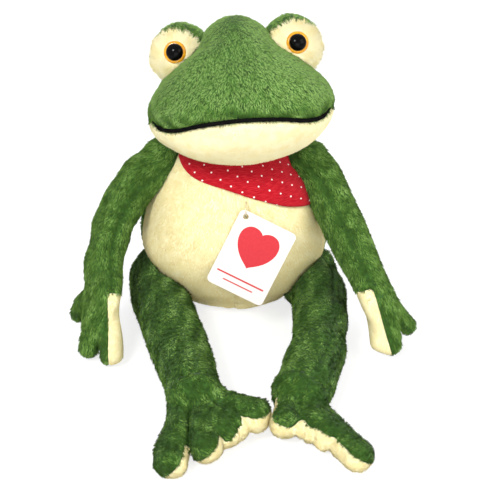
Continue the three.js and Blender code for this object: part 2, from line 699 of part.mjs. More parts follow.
function mouthPoints() {
  const half = mouthLine.map(([x, z]) => new THREE.Vector3(x, 0, z));
  const whole = [...half.slice(1).reverse().map((p) => p.clone().setX(-p.x)), ...half];
  return new THREE.CatmullRomCurve3(whole).getPoints(facets.piping.along);
}

// Everything below the mouth line and in front of the jaw panel's back edge
function jawRegion(gap) {
  const shape = new THREE.Shape();
  const wide = muzzle.half[0] + beyond;
  const points = mouthPoints();
  shape.moveTo(-wide, -wide);
  shape.lineTo(-wide, points[0].z - gap);
  points.forEach((p) => shape.lineTo(p.x, p.z - gap));
  shape.lineTo(wide, points[0].z - gap);
  shape.lineTo(wide, -wide);
  const depth = wide + jawBack - gap;
  const geometry = new THREE.ExtrudeGeometry(shape, { depth, bevelEnabled: false });
  geometry.rotateX(Math.PI / 2);
  geometry.translate(0, jawBack - gap, 0);
  return solid(geometry);
}

// The muzzle's front surface at a point of its face
function muzzleFront(x, z) {
  const share = 1 - (x / muzzle.half[0]) ** 2 - ((z - muzzle.at[2]) / muzzle.half[2]) ** 2;
  return muzzle.at[1] - muzzle.half[1] * Math.sqrt(Math.max(share, 0));
}

function pipingForm(grow) {
  const stations = mouthPoints().filter((p) => Math.abs(p.x) <= mouthEnd).map((p) => ({
    at: [p.x, muzzleFront(p.x, p.z) - pipingProud, p.z], across: pipingRadius, through: pipingRadius,
  }));
  return swell(stations, { mesh: facets.piping, grow, startCap: pipingRadius, endCap: pipingRadius });
}

const headSkin = headForm(0, facets.head).subtract(headForm(-plush, facets.headInside))
  .subtract(headClear).subtract(pipingForm(seam));
const moundRoom = mounds(seam, facets.moundRoom);
add(head, 'head_cover', headSkin.subtract(jawRegion(-seam / 2)).subtract(moundRoom), green);
add(head, 'jaw_cover', headSkin.intersect(jawRegion(seam / 2)), cream);
add(head, 'mouth_piping', pipingForm(0), black);

// Eyes, each in its own group with the stem along Y and the face to the front
const eyeFront = -Math.sqrt(1 - ((eye.out - mound.at[0]) / mound.half[0]) ** 2
  - ((eye.up - mound.at[2]) / mound.half[2]) ** 2) * mound.half[1] + mound.at[1];

function turned(profile, segments) {
  return solid(new THREE.LatheGeometry(profile.map(([r, y]) => new THREE.Vector2(r, y)), segments));
}

function domeProfile(grow) {
  const profile = [[0, -eye.rimThick - seam - pupil.rise - grow]];
  for (let i = 1; i <= facets.pupil.cap; i += 1) {
    const angle = (i / facets.pupil.cap) * (Math.PI / 2);
    profile.push([(pupil.radius + grow) * Math.sin(angle),
      -eye.rimThick - seam - (pupil.rise + grow) * Math.cos(angle)]);
  }
  return [...profile, [stem.radius + grow, -eye.rimThick - seam], [stem.radius + grow, stem.length + grow],
    [0, stem.length + grow]];
}

function ringProfile(inner, outer, front, back, bevel) {
  const rim = [[outer - bevel, front], [outer, front + bevel], [outer, back]];
  return [[inner, front], ...rim, [inner, back], [inner, front]];
}

const eyeCuts = [];
for (const side of [-1, 1]) {
  const sideName = side < 0 ? 'right' : 'left';
  const socket = new THREE.Group();
  socket.position.set(side * eye.out, eyeFront + eye.sink, eye.up);
  socket.rotation.z = side * eyeTurn;
  socket.updateMatrix();
  head.add(socket);
  const irisRoom = [[0, -eye.rimThick - seam], [eye.radius + seam, -eye.rimThick - seam],
    [eye.radius + seam, seam], [0, seam]];
  const stemRoom = turned(domeProfile(seam), facets.stemRoom);
  const cut = moved(stemRoom.add(turned(irisRoom, facets.irisRoom)), socket.matrix);
  const washerFront = plush + washer.back;
  const washerBack = washerFront + washer.thick;
  const washerRoom = [[0, washerFront - seam], [washer.radius + seam, washerFront - seam],
    [washer.radius + seam, washerBack + seam], [0, washerBack + seam]];
  eyeCuts.push(cut, moved(turned(washerRoom, facets.washerRoom), socket.matrix));
  const irisProfile = ringProfile(stem.radius + seam, eye.radius, -eye.rimThick, 0, eye.bevel);
  const washerHole = stem.radius + washer.play;
  const washerProfile = ringProfile(washerHole, washer.radius, washerFront, washerBack, washer.bevel);
  add(socket, `${sideName}_eye_pupil`, turned(domeProfile(0), facets.pupil.round), gloss);
  add(socket, `${sideName}_eye_iris`, turned(irisProfile, facets.iris), amber);
  add(socket, `${sideName}_eye_washer`, turned(washerProfile, facets.washer), plastic);
  const facing = new THREE.Vector3(side * patchFacing[0], patchFacing[1], patchFacing[2]).normalize();
  const centre = new THREE.Vector3(side * mound.at[0], mound.at[1], mound.at[2]);
  const shell = moundForm(side, 0, facets.mound).subtract(moundForm(side, -plush, facets.moundInside))
    .subtract(headForm(seam, facets.head));
  const patch = (gap) => halfSpace(centre.clone().addScaledVector(facing, patchSetIn + gap), facing);
  add(head, `${sideName}_eye_hood`, shell.subtract(patch(-seam / 2)), green);
  add(head, `${sideName}_eye_patch`, shell.intersect(patch(seam / 2)).subtract(cut), cream);
}
const headDepth = plush + fillGap;
const headFill = headForm(-headDepth, facets.headInside).add(mounds(-headDepth, facets.moundInside));
add(head, 'head_stuffing', headFill.subtract(headClear).subtract(union(eyeCuts)), fill);

// Neckerchief: a ring of cloth that lies on the body, with its point hanging to the left
function scarfLow(angle) {
  const curve = new THREE.CatmullRomCurve3(scarfEdge.map(([a, z]) => new THREE.Vector3(a, 0, z)));
  const points = curve.getPoints(facets.scarf.round * facets.scarf.down);
  const lastAngle = scarfEdge[scarfEdge.length - 1][0];
  const turn = angle > lastAngle ? angle - 360 : angle;
  const next = points.findIndex((p) => p.x >= turn);
  const a = points[Math.max(next - 1, 0)];
  const b = points[next];
  const share = b.x === a.x ? 0 : (turn - a.x) / (b.x - a.x);
  return a.z + share * (b.z - a.z);
}

function onBody(angle, height, out) {
  const { halfWidth, halfDepth } = bodyAt(height);
  const turn = angle * degrees;
  return new THREE.Vector3((halfWidth + out) * Math.cos(turn),
    bodyCentreY(height) + (halfDepth + out) * Math.sin(turn), height);
}

// The back's y at a height
function backOf(height) {
  return bodyCentreY(height) + bodyAt(height).halfDepth;
}

function scarfForm() {
  const { round: columns, down: rows } = facets.scarf;
  const sections = [];
  for (let i = 0; i < columns; i += 1) {
    const angle = -180 + (i / columns) * 360;
    const low = scarfLow(angle);
    const fold = scarfFold.swell * Math.exp(-(((angle - scarfFold.angle) / scarfFold.spread) ** 2));
    const rowAt = (row, out) => {
      const height = low + (row / rows) * (scarf.top - low);
      return onBody(angle, height, scarf.clear + fold * Math.sin((1 - row / rows) ** 2 * Math.PI) + out);
    };
    const section = [];
    for (let row = 0; row <= rows; row += 1) {
      section.push(rowAt(row, 0));
    }
    for (let row = rows; row >= 0; row -= 1) {
      section.push(rowAt(row, scarf.thick));
    }
    sections.push(section);
  }
  return closedLoop(sections);
}

// The arms' room at each shoulder, so that the cloth stays clear of a lifted arm
const shoulderRoom = union([-1, 1].map((side) => ball(shoulderAt(side), shoulder.radius + scarf.clear)));
add(group, 'neckerchief', scarfForm().subtract(shoulderRoom), red);

function knotForm() {
  const out = scarf.clear + scarf.thick + seam;
  const middle = { at: [0, backOf(knot.height) + out + knot.half[1], knot.height], half: knot.half };
  const thin = new THREE.Vector3(0, 1, tail.lean);
  const tails = [-1, 1].map((side) => {
    const stations = Array.from({ length: tail.stations }, (_, i) => {
      const share = i / (tail.stations - 1);
      const height = knot.height - share * tail.length * Math.cos(tail.splay);
      const aside = tail.apart + share * tail.length * Math.sin(tail.splay);
      const y = backOf(height) + out + tail.thick / 2 + tail.off + share * tail.lift;
      const across = tail.halfWidth.knot + share * (tail.halfWidth.tip - tail.halfWidth.knot);
      return { at: [side * aside, y, height], across, through: tail.thick / 2 };
    });
    return swell(stations, { mesh: facets.tail, startCap: tail.knotCap, endCap: tail.tipCap, thin });
  });
  return ellipsoid(middle, 0, facets.knot).add(union(tails));
}
add(group, 'neckerchief_knot', knotForm(), red);

// Tag, hanging by its corner from a nylon loop
add(group, 'tag_loop', loopForm(0), nylon);
const tagGroup = new THREE.Group();
tagGroup.position.copy(tagHolePoint);
tagGroup.rotation.x = Math.PI / 2 - tagSlope;
group.add(tagGroup);

function cardShape() {
  const { width, length, corner } = tag;
  const left = -tag.holeIn;
  const top = tag.holeDown;
  const shape = new THREE.Shape();
  shape.moveTo(left + corner, top);
  shape.absarc(left + corner, top - corner, corner, Math.PI / 2, Math.PI, false);
  shape.absarc(left + corner, top - length + corner, corner, Math.PI, 1.5 * Math.PI, false);
  shape.absarc(left + width - corner, top - length + corner, corner, 1.5 * Math.PI, 2 * Math.PI, false);
  shape.absarc(left + width - corner, top - corner, corner, 0, Math.PI / 2, false);
  const hole = new THREE.Path();
  hole.absarc(0, 0, tag.holeRadius, 0, 2 * Math.PI, true);
  shape.holes.push(hole);
  return shape;
}
const cardGeometry = new THREE.ExtrudeGeometry(cardShape(), {
  depth: tag.thick, bevelEnabled: false, curveSegments: facets.cardCorner,
});
cardGeometry.translate(0, 0, -tag.thick / 2);
const cardMesh = add(tagGroup, 'hang_tag', cardGeometry, card);
cardMesh.rotation.z = -tagTurn;

// Label, sewn flat on the back
const labelMesh = add(group, 'care_label', new THREE.BoxGeometry(label.width, label.thick, label.length), card);
const labelEnds = [-1, 1].map((end) => backOf(label.height + end * (label.length / 2)));
const labelLean = Math.atan2(labelEnds[1] - labelEnds[0], label.length);
const labelOff = label.thick / 2 + seam;
labelMesh.position.set(0, backOf(label.height) + labelOff * Math.cos(labelLean),
  label.height - labelOff * Math.sin(labelLean));
labelMesh.rotation.x = -labelLean;

export default group;
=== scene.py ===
# Seated plush frog in short pile, with a dotted neckerchief and a card tag.
# The frog faces -Y and sits on z = 0. Left and right are the frog's own, so its left side is +X.
# Sizes and places are millimetres in the model's frame until a mesh is made, which is in metres.
import json
import math

import bpy
import numpy as np
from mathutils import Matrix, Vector
from mathutils.geometry import tessellate_polygon
from mathutils.kdtree import KDTree


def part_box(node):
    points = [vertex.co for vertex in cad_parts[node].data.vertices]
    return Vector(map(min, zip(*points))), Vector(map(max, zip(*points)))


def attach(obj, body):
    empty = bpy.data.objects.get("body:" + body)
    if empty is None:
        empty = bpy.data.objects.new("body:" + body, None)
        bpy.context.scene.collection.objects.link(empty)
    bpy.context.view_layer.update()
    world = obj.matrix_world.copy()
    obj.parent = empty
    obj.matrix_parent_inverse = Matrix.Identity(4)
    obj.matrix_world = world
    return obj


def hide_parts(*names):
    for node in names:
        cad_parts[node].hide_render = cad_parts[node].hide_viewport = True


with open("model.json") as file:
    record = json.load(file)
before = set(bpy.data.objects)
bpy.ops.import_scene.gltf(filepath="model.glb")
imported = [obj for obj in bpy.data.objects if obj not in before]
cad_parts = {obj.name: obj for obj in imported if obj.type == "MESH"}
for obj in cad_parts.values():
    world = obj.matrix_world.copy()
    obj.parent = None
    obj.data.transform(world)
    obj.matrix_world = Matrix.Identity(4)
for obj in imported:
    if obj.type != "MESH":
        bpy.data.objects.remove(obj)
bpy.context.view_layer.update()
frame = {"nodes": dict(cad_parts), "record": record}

MM = 0.001

# Driving sizes
SKIN = 1.2             # the cloth under the pile
GRID = 2.0             # spacing of the skins' points
MOST_TUFTS = 49000     # on one panel
TUFT_SPACE = 0.5       # square millimetres for each tuft
FAR = 99               # farther than any seam reaches
BODY_RINGS = [         # height, half width, half depth
    (9, 41, 29), (24, 54, 43), (44, 62, 52), (64, 61, 51), (84, 54, 45), (101, 43, 36), (114, 30, 26)]
BODY_CAPS = (11.5, 8)
BODY_LEAN = math.radians(8)
BODY_SET_BACK = -2
TUCK = (5, 34)         # how far the seat curves back, and below which height
SIDE_SEAM = -10        # y of the side seams at the seat
SEAMS = {              # depth and half width of each drawn-in seam
    "side": (1.0, 1.8), "belly": (0.9, 1.5), "mouth": (1.2, 2.2), "patch": (0.9, 1.3), "arm": (1.3, 1.7),
    "leg": (1.2, 1.8), "toes": (1.4, 1.6), "knot": (1.0, 1.1)}
SET_IN = {"body": 0.6, "head": 0.4, "mound": 0.3, "arm": 0.4, "leg": 0.3}   # of the skins, under their pile
UNEVEN = {             # height, length and seed of the skins' soft unevenness
    "body": (0.45, 38, 11), "head": (0.35, 30, 21), "mound": (0.25, 20, 61), "arm": (0.5, 26, 31),
    "leg": (0.6, 30, 41)}
NECK_CLEAR = 2.4       # from the body to the head's covers
LIMB_CLEAR = 0.5       # from the body to a sleeve
FLOOR_CLEAR = 0.3      # from the floor to the skins
ON_FLOOR = 0.8         # the pile is left off below this height
BY_BODY = 1.2          # and nearer than this to the body, where a limb is pressed to it

HEAD_AT = (4.6, -8, 155.2)
HEAD_TILT = math.radians(25)
HEAD_ROLL = math.radians(4.5)
HEAD_FORMS = [         # middle and half sizes, in the head's own frame
    ((0, -8, -10), (59, 44, 35)), ((0, -4, 6), (42, 42, 27)),
    ((0, 0, 8), (29, 38, 41)), ((0, 8, 0), (50, 34, 34))]
MOUTH = [(0, -17.4), (22, -18.4), (40, -20.3), (50, -18.5), (56, -12.5)]
MOUTH_END = 55
JAW_BACK = 16
PIPING = 1.05
BROW = {"at": (-20, -28, 188), "rise": 3.2, "spread": 12}   # where the head's top is fullest, in the model
MOUND = ((34.7, 2, 27.4), (19.4, 17, 19.6))
PATCH_FACING = {-1: (0.34, -0.83, -0.38), 1: (0.2, -0.86, -0.4)}   # for the right eye and the left
PATCH_SET_IN = 4
EYE = {"out": 38.2, "up": 28.2, "radius": 7, "rim": 1.6, "pupil": 5.4, "rise": 3.6, "sink": 1}
EYE_TURN = math.radians(6)

SHOULDER_RADIUS = 15
HIP_RADIUS = 20
PALM_FACING = (-0.8, 0.5, -0.33)
PALM_START = 6
ANKLE_SET_BACK = 2
LEG_SLANT = 0.45       # how far the legs' pile lies aslant
DEEPEST = 1.6          # how far a seam or dent may go into a cover, short of its stuffing
SOLE_REACH = 1.6       # how far from a toe's own form its sole may lie

# Limbs: place from the joint with x outwards, half size across and through
ARMS = {
    "right": {
        "side": -1, "seam_in": -2.2, "palm_facing": (1, 0, 0), "palm_in": 5.2,
        "reach": [((0, 0, 0), 15, 15), ((15, -10, -10), 14.5, 14.5), ((27, -25, -23), 13.5, 13.5),
                  ((34, -44, -37), 12.5, 12.5), ((36, -59, -49), 13.5, 12), ((37, -73, -62), 16, 10),
                  ((39.5, -80, -78), 12.5, 8.5)],
        "digits": [((44, -68, -60), (56, -53, -86), 6, 5.5), ((42, -76, -66), (45, -85, -92), 7.5, 6.5),
                   ((32.5, -78, -66), (30.5, -93, -93), 8, 8)],
    },
    "left": {
        "side": 1, "seam_in": -5.0, "palm_facing": (-0.957, -0.145, -0.251), "palm_in": 1.5,
        "reach": [((0, 0, 0), 15, 15), ((11.5, -10, -10), 14.5, 14.5), ((20, -25, -23), 14, 14),
                  ((29, -44, -37), 13, 13), ((37, -58, -48), 13.5, 12), ((44.5, -71, -60), 15, 9.5),
                  ((50, -78, -77), 11.5, 8)],
        "digits": [((49, -71, -62), (67.5, -64, -89), 6.5, 6), ((51, -75, -66), (54.5, -85, -90), 7, 6.5),
                   ((44.5, -76, -66), (48, -83, -89), 7.5, 7.5)],
    },
}
LEGS = {
    "right": {
        "side": -1, "seam": (0.05, 0, 1), "seam_shade": 0.9,
        "sole_facing": (0.65, -0.45, -0.6), "sole_in": (1.5, 0.5, -3, -1.5),
        "reach": [((0, 0, 0), 20, 20), ((-0.5, -25, -1.5), 19.5, 19), ((-7, -52, -2), 18.5, 18.5),
                  ((-13, -78, -2), 18, 18), ((-23, -116, -2), 17, 17.5), ((-27.5, -138, -3), 16.5, 17)],
        "digits": [((-20.5, -137, -7), (-15, -191, -11), 10.5, 9.5),
                   ((-30, -138, -7), (-35, -181, -8), 10.5, 10),
                   ((-34, -136, -6), (-65, -154, -4), 9.6, 10.5),
                   ((-30, -134, -6), (-45, -165, -7), 14.5, 10)],
    },
    "left": {
        "side": 1, "seam": (0.5, 0, 0.866), "seam_shade": -1.6,
        "sole_facing": (-0.35, -0.45, -0.8), "sole_in": (-1.5, -2, -3.5, -2),
        "reach": [((0, 0, 0), 20, 20), ((7.5, -25, -1.5), 18, 19), ((6.3, -68, -2), 16.8, 18),
                  ((3.5, -96, -2), 17, 18), ((-2.5, -118, -2), 17, 17.5), ((-8.5, -136, -3), 16.5, 17)],
        "digits": [((-8, -134, -7), (23.5, -185, -11), 10, 9.5), ((-8, -136, -7), (8.5, -169, -8), 10, 10),
                   ((-12.5, -136, -6), (-17, -160, -6), 9.6, 10.5), ((-8, -134, -6), (0, -160, -7), 14, 10)],
    },
}

# Neckerchief: angle round the body, 0 at its left and -90 in front, and height of the lower edge
SCARF_EDGE = [(-180, 109), (-155, 107), (-125, 101), (-96, 97), (-73, 91), (-50, 83.5), (-28, 79), (-23, 86),
              (-17, 99), (-6, 107), (40, 110), (90, 110), (140, 110), (180, 109)]
SCARF_CORNER = 6
SCARF_TOP = 114
SCARF_CLEAR = 0.5
SCARF_THICK = 0.9
KNOT = {"half": (9, 6, 6), "height": 111, "tail": 26, "width": 15, "splay": math.radians(28)}
TAG = {"width": 39.8, "length": 52.4, "thick": 0.6, "corner": 3.2, "hole": 1.8, "hole_in": 4.7,
       "hole_down": 3.8, "at": (8.4, -38.69, 83), "turn": math.radians(26.6), "slope": math.radians(19)}
LOOP = {"radius": 0.5, "length": 5, "width": 3.4, "tilt": math.radians(52)}
LABEL = {"width": 14, "length": 19, "height": 37, "out": 1.1, "thick": 0.6}
DOTS = {"pitch": 7.6, "turn": 32, "radius": 0.55}
HEART = {"x": 15.2, "y": -18.4, "size": 12, "lines": [(-38.6, 0.55, 16.5), (-42.6, 0.42, 10.5)]}

# Camera, lamps and floor, in metres
CAMERA = {"at": (0.011, -0.8660, 0.536), "turn": (math.radians(60), 0, 0), "half_view": 0.1695}
LIT = (0, -0.05, 0.09)
LAMPS = {   # place, power and size
    "key": ((-0.5, -1.0, 1.1), 13.2, 0.32), "side": ((0.9, -0.6, 0.7), 5.6, 0.8),
    "behind": ((0.2, 0.9, 1.0), 4.8, 0.8), "low": ((0.15, -1.2, 0.2), 4.5, 0.8)}
FLOOR_HALF = 6


def joint_at(name):
    """A joint's place in millimetres."""
    for joint in frame["record"]["behaviour"]["joints"]:
        if joint["name"] == name:
            return np.array(joint["pos_m"]) / MM
    raise ValueError(name)


# Materials
def srgb(red, green, blue):
    """A colour that is written as it looks on screen, 0 to 255."""
    def linear(value):
        value /= 255
        return value / 12.92 if value <= 0.04045 else ((value + 0.055) / 1.055) ** 2.4
    return (linear(red), linear(green), linear(blue), 1)


class Nodes:
    """Short ways to add and link the nodes of a material or a world."""

    def __init__(self, owner):
        owner.use_nodes = True
        self.owner = owner
        self.tree = owner.node_tree

    def put(self, socket, value):
        """Gives an input a plain value, or links it where the value is a node's output."""
        if isinstance(value, bpy.types.NodeSocket):
            self.tree.links.new(value, socket)
        else:
            socket.default_value = value

    def add(self, kind, **values):
        """A node with its settings and inputs. In an input's name an underscore stands for a space."""
        made = self.tree.nodes.new("ShaderNode" + kind)
        for key, value in values.items():
            socket = made.inputs.get(key.replace("_", " "))
            if socket is None:
                setattr(made, key, value)
            else:
                self.put(socket, value)
        return made

    def math(self, operation, *values):
        made = self.add("Math", operation=operation)
        for socket, value in zip(made.inputs, values):
            self.put(socket, value)
        return made.outputs[0]

    def mix(self, share, first, second):
        made = self.add("Mix", data_type="RGBA")
        for slot, value in ((0, share), (6, first), (7, second)):
            self.put(made.inputs[slot], value)
        return made.outputs[2]

    def seen_directly(self):
        """1 for the camera's own rays and for those that metal, gloss or glass send on."""
        path = self.add("LightPath").outputs
        shown = self.math("MAXIMUM", path["Is Camera Ray"], path["Is Glossy Ray"])
        return self.math("MAXIMUM", shown, path["Is Transmission Ray"])


class Finish(Nodes):
    """A material with plain values on its shader."""

    def __init__(self, name, roughness, sheen=0.0, specular=0.3, coat=0.0, transmission=0.0):
        super().__init__(bpy.data.materials.new(name))
        self.shader = self.tree.nodes["Principled BSDF"].inputs
        for key, value in (("Roughness", roughness), ("Sheen Weight", sheen), ("Sheen Roughness", 0.5),
                           ("Specular IOR Level", specular), ("Coat Weight", coat),
                           ("Transmission Weight", transmission)):
            self.shader[key].default_value = value

    def done(self, colour, height, strength, distance):
        """The material, with its colour and a relief from a height."""
        relief = self.add("Bump", Height=height, Strength=strength, Distance=distance)
        self.put(self.shader["Base Color"], colour)
        self.put(self.shader["Normal"], relief.outputs["Normal"])
        return self.owner


def plain(name, colour, roughness, sheen=0.0, specular=0.3):
    """One colour for tufts, which are too small for more."""
    finish = Finish(name, roughness, sheen, specular)
    for key in ("Sheen Tint", "Base Color"):
        finish.shader[key].default_value = srgb(*colour)
    finish.owner.diffuse_color = srgb(*colour)
    return finish.owner


def mottled(name, dark, light, scale, roughness, bump, bump_scale, sheen=0.2, **more):
    """Soft variation of colour and a fine nap."""
    finish = Finish(name, roughness, sheen, **more)
    place = finish.add("TexCoord").outputs["Object"]
    cloud = finish.add("TexNoise", Vector=place, Scale=scale, Detail=5)
    ramp = finish.add("ValToRGB", Fac=cloud.outputs["Fac"])
    for element, position, colour in zip(ramp.color_ramp.elements, (0.35, 0.65), (dark, light)):
        element.position = position
        element.color = srgb(*colour)
    nap = finish.add("TexNoise", Vector=place, Scale=bump_scale, Detail=3)
    return finish.done(ramp.outputs["Color"], nap.outputs["Fac"], bump, 0.0004)


def dotted(name, by_place=False):
    """Woven red cotton with small white dots, along the cloth's own flat coordinates."""
    finish = Finish(name, 0.85, sheen=0.06, specular=0.12)
    if by_place:
        source = finish.add("TexCoord").outputs["Object"]
        turn = finish.add("Mapping", Vector=source, Rotation=(math.radians(90), 0, 0), Scale=(10, 10, 10))
    else:
        turn = finish.add("Mapping", Vector=finish.add("UVMap", uv_map="flat").outputs["UV"])
    flat = turn.outputs["Vector"]
    tilt = finish.add("Mapping", Vector=flat, Rotation=(0, 0, math.radians(DOTS["turn"])),
                      Scale=(1 / (DOTS["pitch"] * 0.01),) * 3)
    split = finish.add("SeparateXYZ", Vector=tilt.outputs["Vector"])
    off = [finish.math("SUBTRACT", finish.math("FRACT", split.outputs[axis]), 0.5) for axis in (0, 1)]
    away = finish.math("SQRT", finish.math("ADD", *[finish.math("MULTIPLY", part, part) for part in off]))
    radius = DOTS["radius"] / DOTS["pitch"]
    inside = finish.add("MapRange", Value=away, From_Min=radius * 1.12, From_Max=radius * 0.88,
                        interpolation_type="SMOOTHSTEP")

    threads = [finish.add("TexWave", Vector=flat, bands_direction=direction, Scale=100, Distortion=1.5,
                          Detail=2, Detail_Scale=3).outputs["Fac"] for direction in ("X", "Y")]
    weave = finish.math("MULTIPLY", finish.math("ADD", *threads), 0.5)
    cloud = finish.add("TexNoise", Vector=flat, Scale=12, Detail=4)
    stretched = finish.add("Mapping", Vector=flat, Scale=(0.25, 2, 1), Rotation=(0, 0, math.radians(58)))
    slub = finish.add("TexNoise", Vector=stretched.outputs["Vector"], Scale=90, Detail=3)
    streak = finish.add("MapRange", Value=slub.outputs["Fac"], From_Min=0.42, From_Max=0.68)
    ground = finish.mix(cloud.outputs["Fac"], srgb(158, 8, 26), srgb(186, 14, 34))
    ground = finish.mix(streak.outputs[0], ground, srgb(204, 42, 52))
    ground = finish.mix(finish.math("MULTIPLY", weave, 0.35), ground, srgb(140, 8, 22))
    return finish.done(finish.mix(inside.outputs[0], ground, srgb(250, 244, 240)), weave, 0.5, 0.0002)


def printed_card(name):
    """White card with faint fibres and a plain red heart over two thin lines."""
    finish = Finish(name, 0.55, specular=0.35)
    flat = finish.add("UVMap", uv_map="flat").outputs["UV"]
    x, y, _ = finish.add("SeparateXYZ", Vector=flat).outputs

    def sized(value, middle, size):
        return finish.math("DIVIDE", finish.math("SUBTRACT", value, middle * 0.01), size * 0.01)

    def within(value, middle, reach):
        return finish.math("LESS_THAN", finish.math("ABSOLUTE", sized(value, middle, 1)), reach)

    heart_x, heart_y = sized(x, HEART["x"], HEART["size"]), sized(y, HEART["y"], HEART["size"])
    xx = finish.math("MULTIPLY", heart_x, heart_x)
    yy = finish.math("MULTIPLY", heart_y, heart_y)
    ring = finish.math("SUBTRACT", finish.math("ADD", xx, yy), 1.0)
    cube = finish.math("POWER", finish.math("ABSOLUTE", ring), 3.0)
    cube = finish.math("MULTIPLY", cube, finish.math("SIGN", ring))
    lobe = finish.math("MULTIPLY", xx, finish.math("MULTIPLY", yy, heart_y))
    marks = finish.math("LESS_THAN", finish.math("SUBTRACT", cube, lobe), 0.0)
    for height, half_thick, half_wide in HEART["lines"]:
        line = finish.math("MULTIPLY", within(y, height, half_thick), within(x, HEART["x"], half_wide))
        marks = finish.math("MAXIMUM", marks, line)
    fibre = finish.add("TexNoise", Vector=flat, Scale=60, Detail=6).outputs["Fac"]
    paper = finish.mix(fibre, srgb(226, 217, 213), srgb(235, 229, 226))
    ink = finish.mix(fibre, srgb(190, 30, 42), srgb(204, 46, 56))
    return finish.done(finish.mix(marks, paper, ink), fibre, 0.15, 0.0002)


def dress_inside():
    """Finishes for the parts inside the covers, which keep their solids."""
    finishes = {
        "stuffing": mottled("polyester_stuffing", (232, 230, 224), (248, 247, 243), 120, 1, 0.8, 900, 0.3),
        "bag": mottled("pellet_bag_cotton", (214, 208, 194), (232, 228, 216), 160, 0.9, 0.6, 1800, 0.1),
        "washer": mottled("washer_plastic", (224, 224, 218), (238, 238, 233), 200, 0.45, 0.05, 900, 0)}
    for name, part in frame["nodes"].items():
        for ending, finish in finishes.items():
            if name.endswith(ending):
                part.data.materials.clear()
                part.data.materials.append(finish)


# Numbers: smooth lines, distances and surfaces
def unit(vectors):
    vectors = np.asarray(vectors, float)
    return vectors / np.linalg.norm(vectors, axis=-1, keepdims=True)


def smooth_line(points, count):
    """Points along a smooth line through the given ones."""
    known = np.asarray(points, float)
    padded = np.vstack([2 * known[0] - known[1], known, 2 * known[-1] - known[-2]])
    t = np.linspace(0, len(known) - 1, count)
    i = np.minimum(t.astype(int), len(known) - 2)
    u = (t - i)[:, None]
    a, b, c, d = padded[i], padded[i + 1], padded[i + 2], padded[i + 3]
    return 0.5 * (2 * b + (c - a) * u + (2 * a - 5 * b + 4 * c - d) * u ** 2
                  + (3 * b - a - 3 * c + d) * u ** 3)


def smooth_min(first, second, radius):
    """The nearer of two distances, with the corner between them rounded."""
    share = np.clip(0.5 + 0.5 * (second - first) / radius, 0, 1)
    return second + (first - second) * share - radius * share * (1 - share)


def ellipsoid(points, middle, half):
    half = np.asarray(half, float)
    place = (points - np.asarray(middle, float)) / half
    near = np.linalg.norm(place, axis=1)
    return near * (near - 1) / np.maximum(np.linalg.norm(place / half, axis=1), 1e-9)


def tube(stations, thin, caps, count):
    """Distance to a form that swells and tapers along a smooth line, with rounded ends."""
    places = smooth_line([s[0] for s in stations], count)
    sizes = smooth_line([s[1:] for s in stations], count)

    def distance(points):
        nearest = np.full(len(points), 1e6)
        for k in range(count - 1):
            step = places[k + 1] - places[k]
            length = np.linalg.norm(step)
            along = step / length
            across = unit(np.cross(along, thin))
            through = np.cross(across, along)
            share = np.clip((points - places[k]) @ along / length, 0, 1)[:, None]
            off = points - places[k] - share * step
            size = sizes[k] + share * (sizes[k + 1] - sizes[k])
            cap = caps[0] if k == 0 else caps[1] if k == count - 2 else size.min()
            cap = np.full(len(points), cap)
            place = np.stack([off @ across / size[:, 0], off @ through / size[:, 1], off @ along / cap], 1)
            near = np.linalg.norm(place, axis=1)
            slope = np.linalg.norm(place / np.column_stack([size, cap]), axis=1)
            nearest = np.minimum(nearest, near * (near - 1) / np.maximum(slope, 1e-9))
        return nearest
    return distance


def waves(points, length, seed, count=6, size=3):
    """Smooth random vectors that change over about the given length."""
    random = np.random.default_rng(seed)
    total = np.zeros((len(points), size))
    for _ in range(count):
        heading = unit(random.normal(size=3)) * 2 * math.pi / length * random.uniform(0.7, 1.4)
        amount = unit(random.normal(size=size))
        total += np.sin(points @ heading + random.uniform(0, 2 * math.pi))[:, None] * amount
    return total / math.sqrt(count / 2)


def ripple(points, length, seed):
    """Smooth random numbers that change over about the given length."""
    return waves(points, length, seed, size=1)[:, 0]


def turned(points, axis, angle):
    """Points turned about x, y or z, which are 0, 1 and 2."""
    a, b = (axis + 1) % 3, (axis + 2) % 3
    points = np.array(points, float)
    first, second = points[:, a].copy(), points[:, b].copy()
    points[:, a] = first * math.cos(angle) - second * math.sin(angle)
    points[:, b] = first * math.sin(angle) + second * math.cos(angle)
    return points


# Meshes
def slope_of(distance, points, reach=0.05):
    """The direction in which a distance grows, at each point."""
    slope = np.empty_like(points)
    for axis in range(3):
        shift = np.zeros(3)
        shift[axis] = reach
        slope[:, axis] = (distance(points + shift) - distance(points - shift)) / (2 * reach)
    return slope


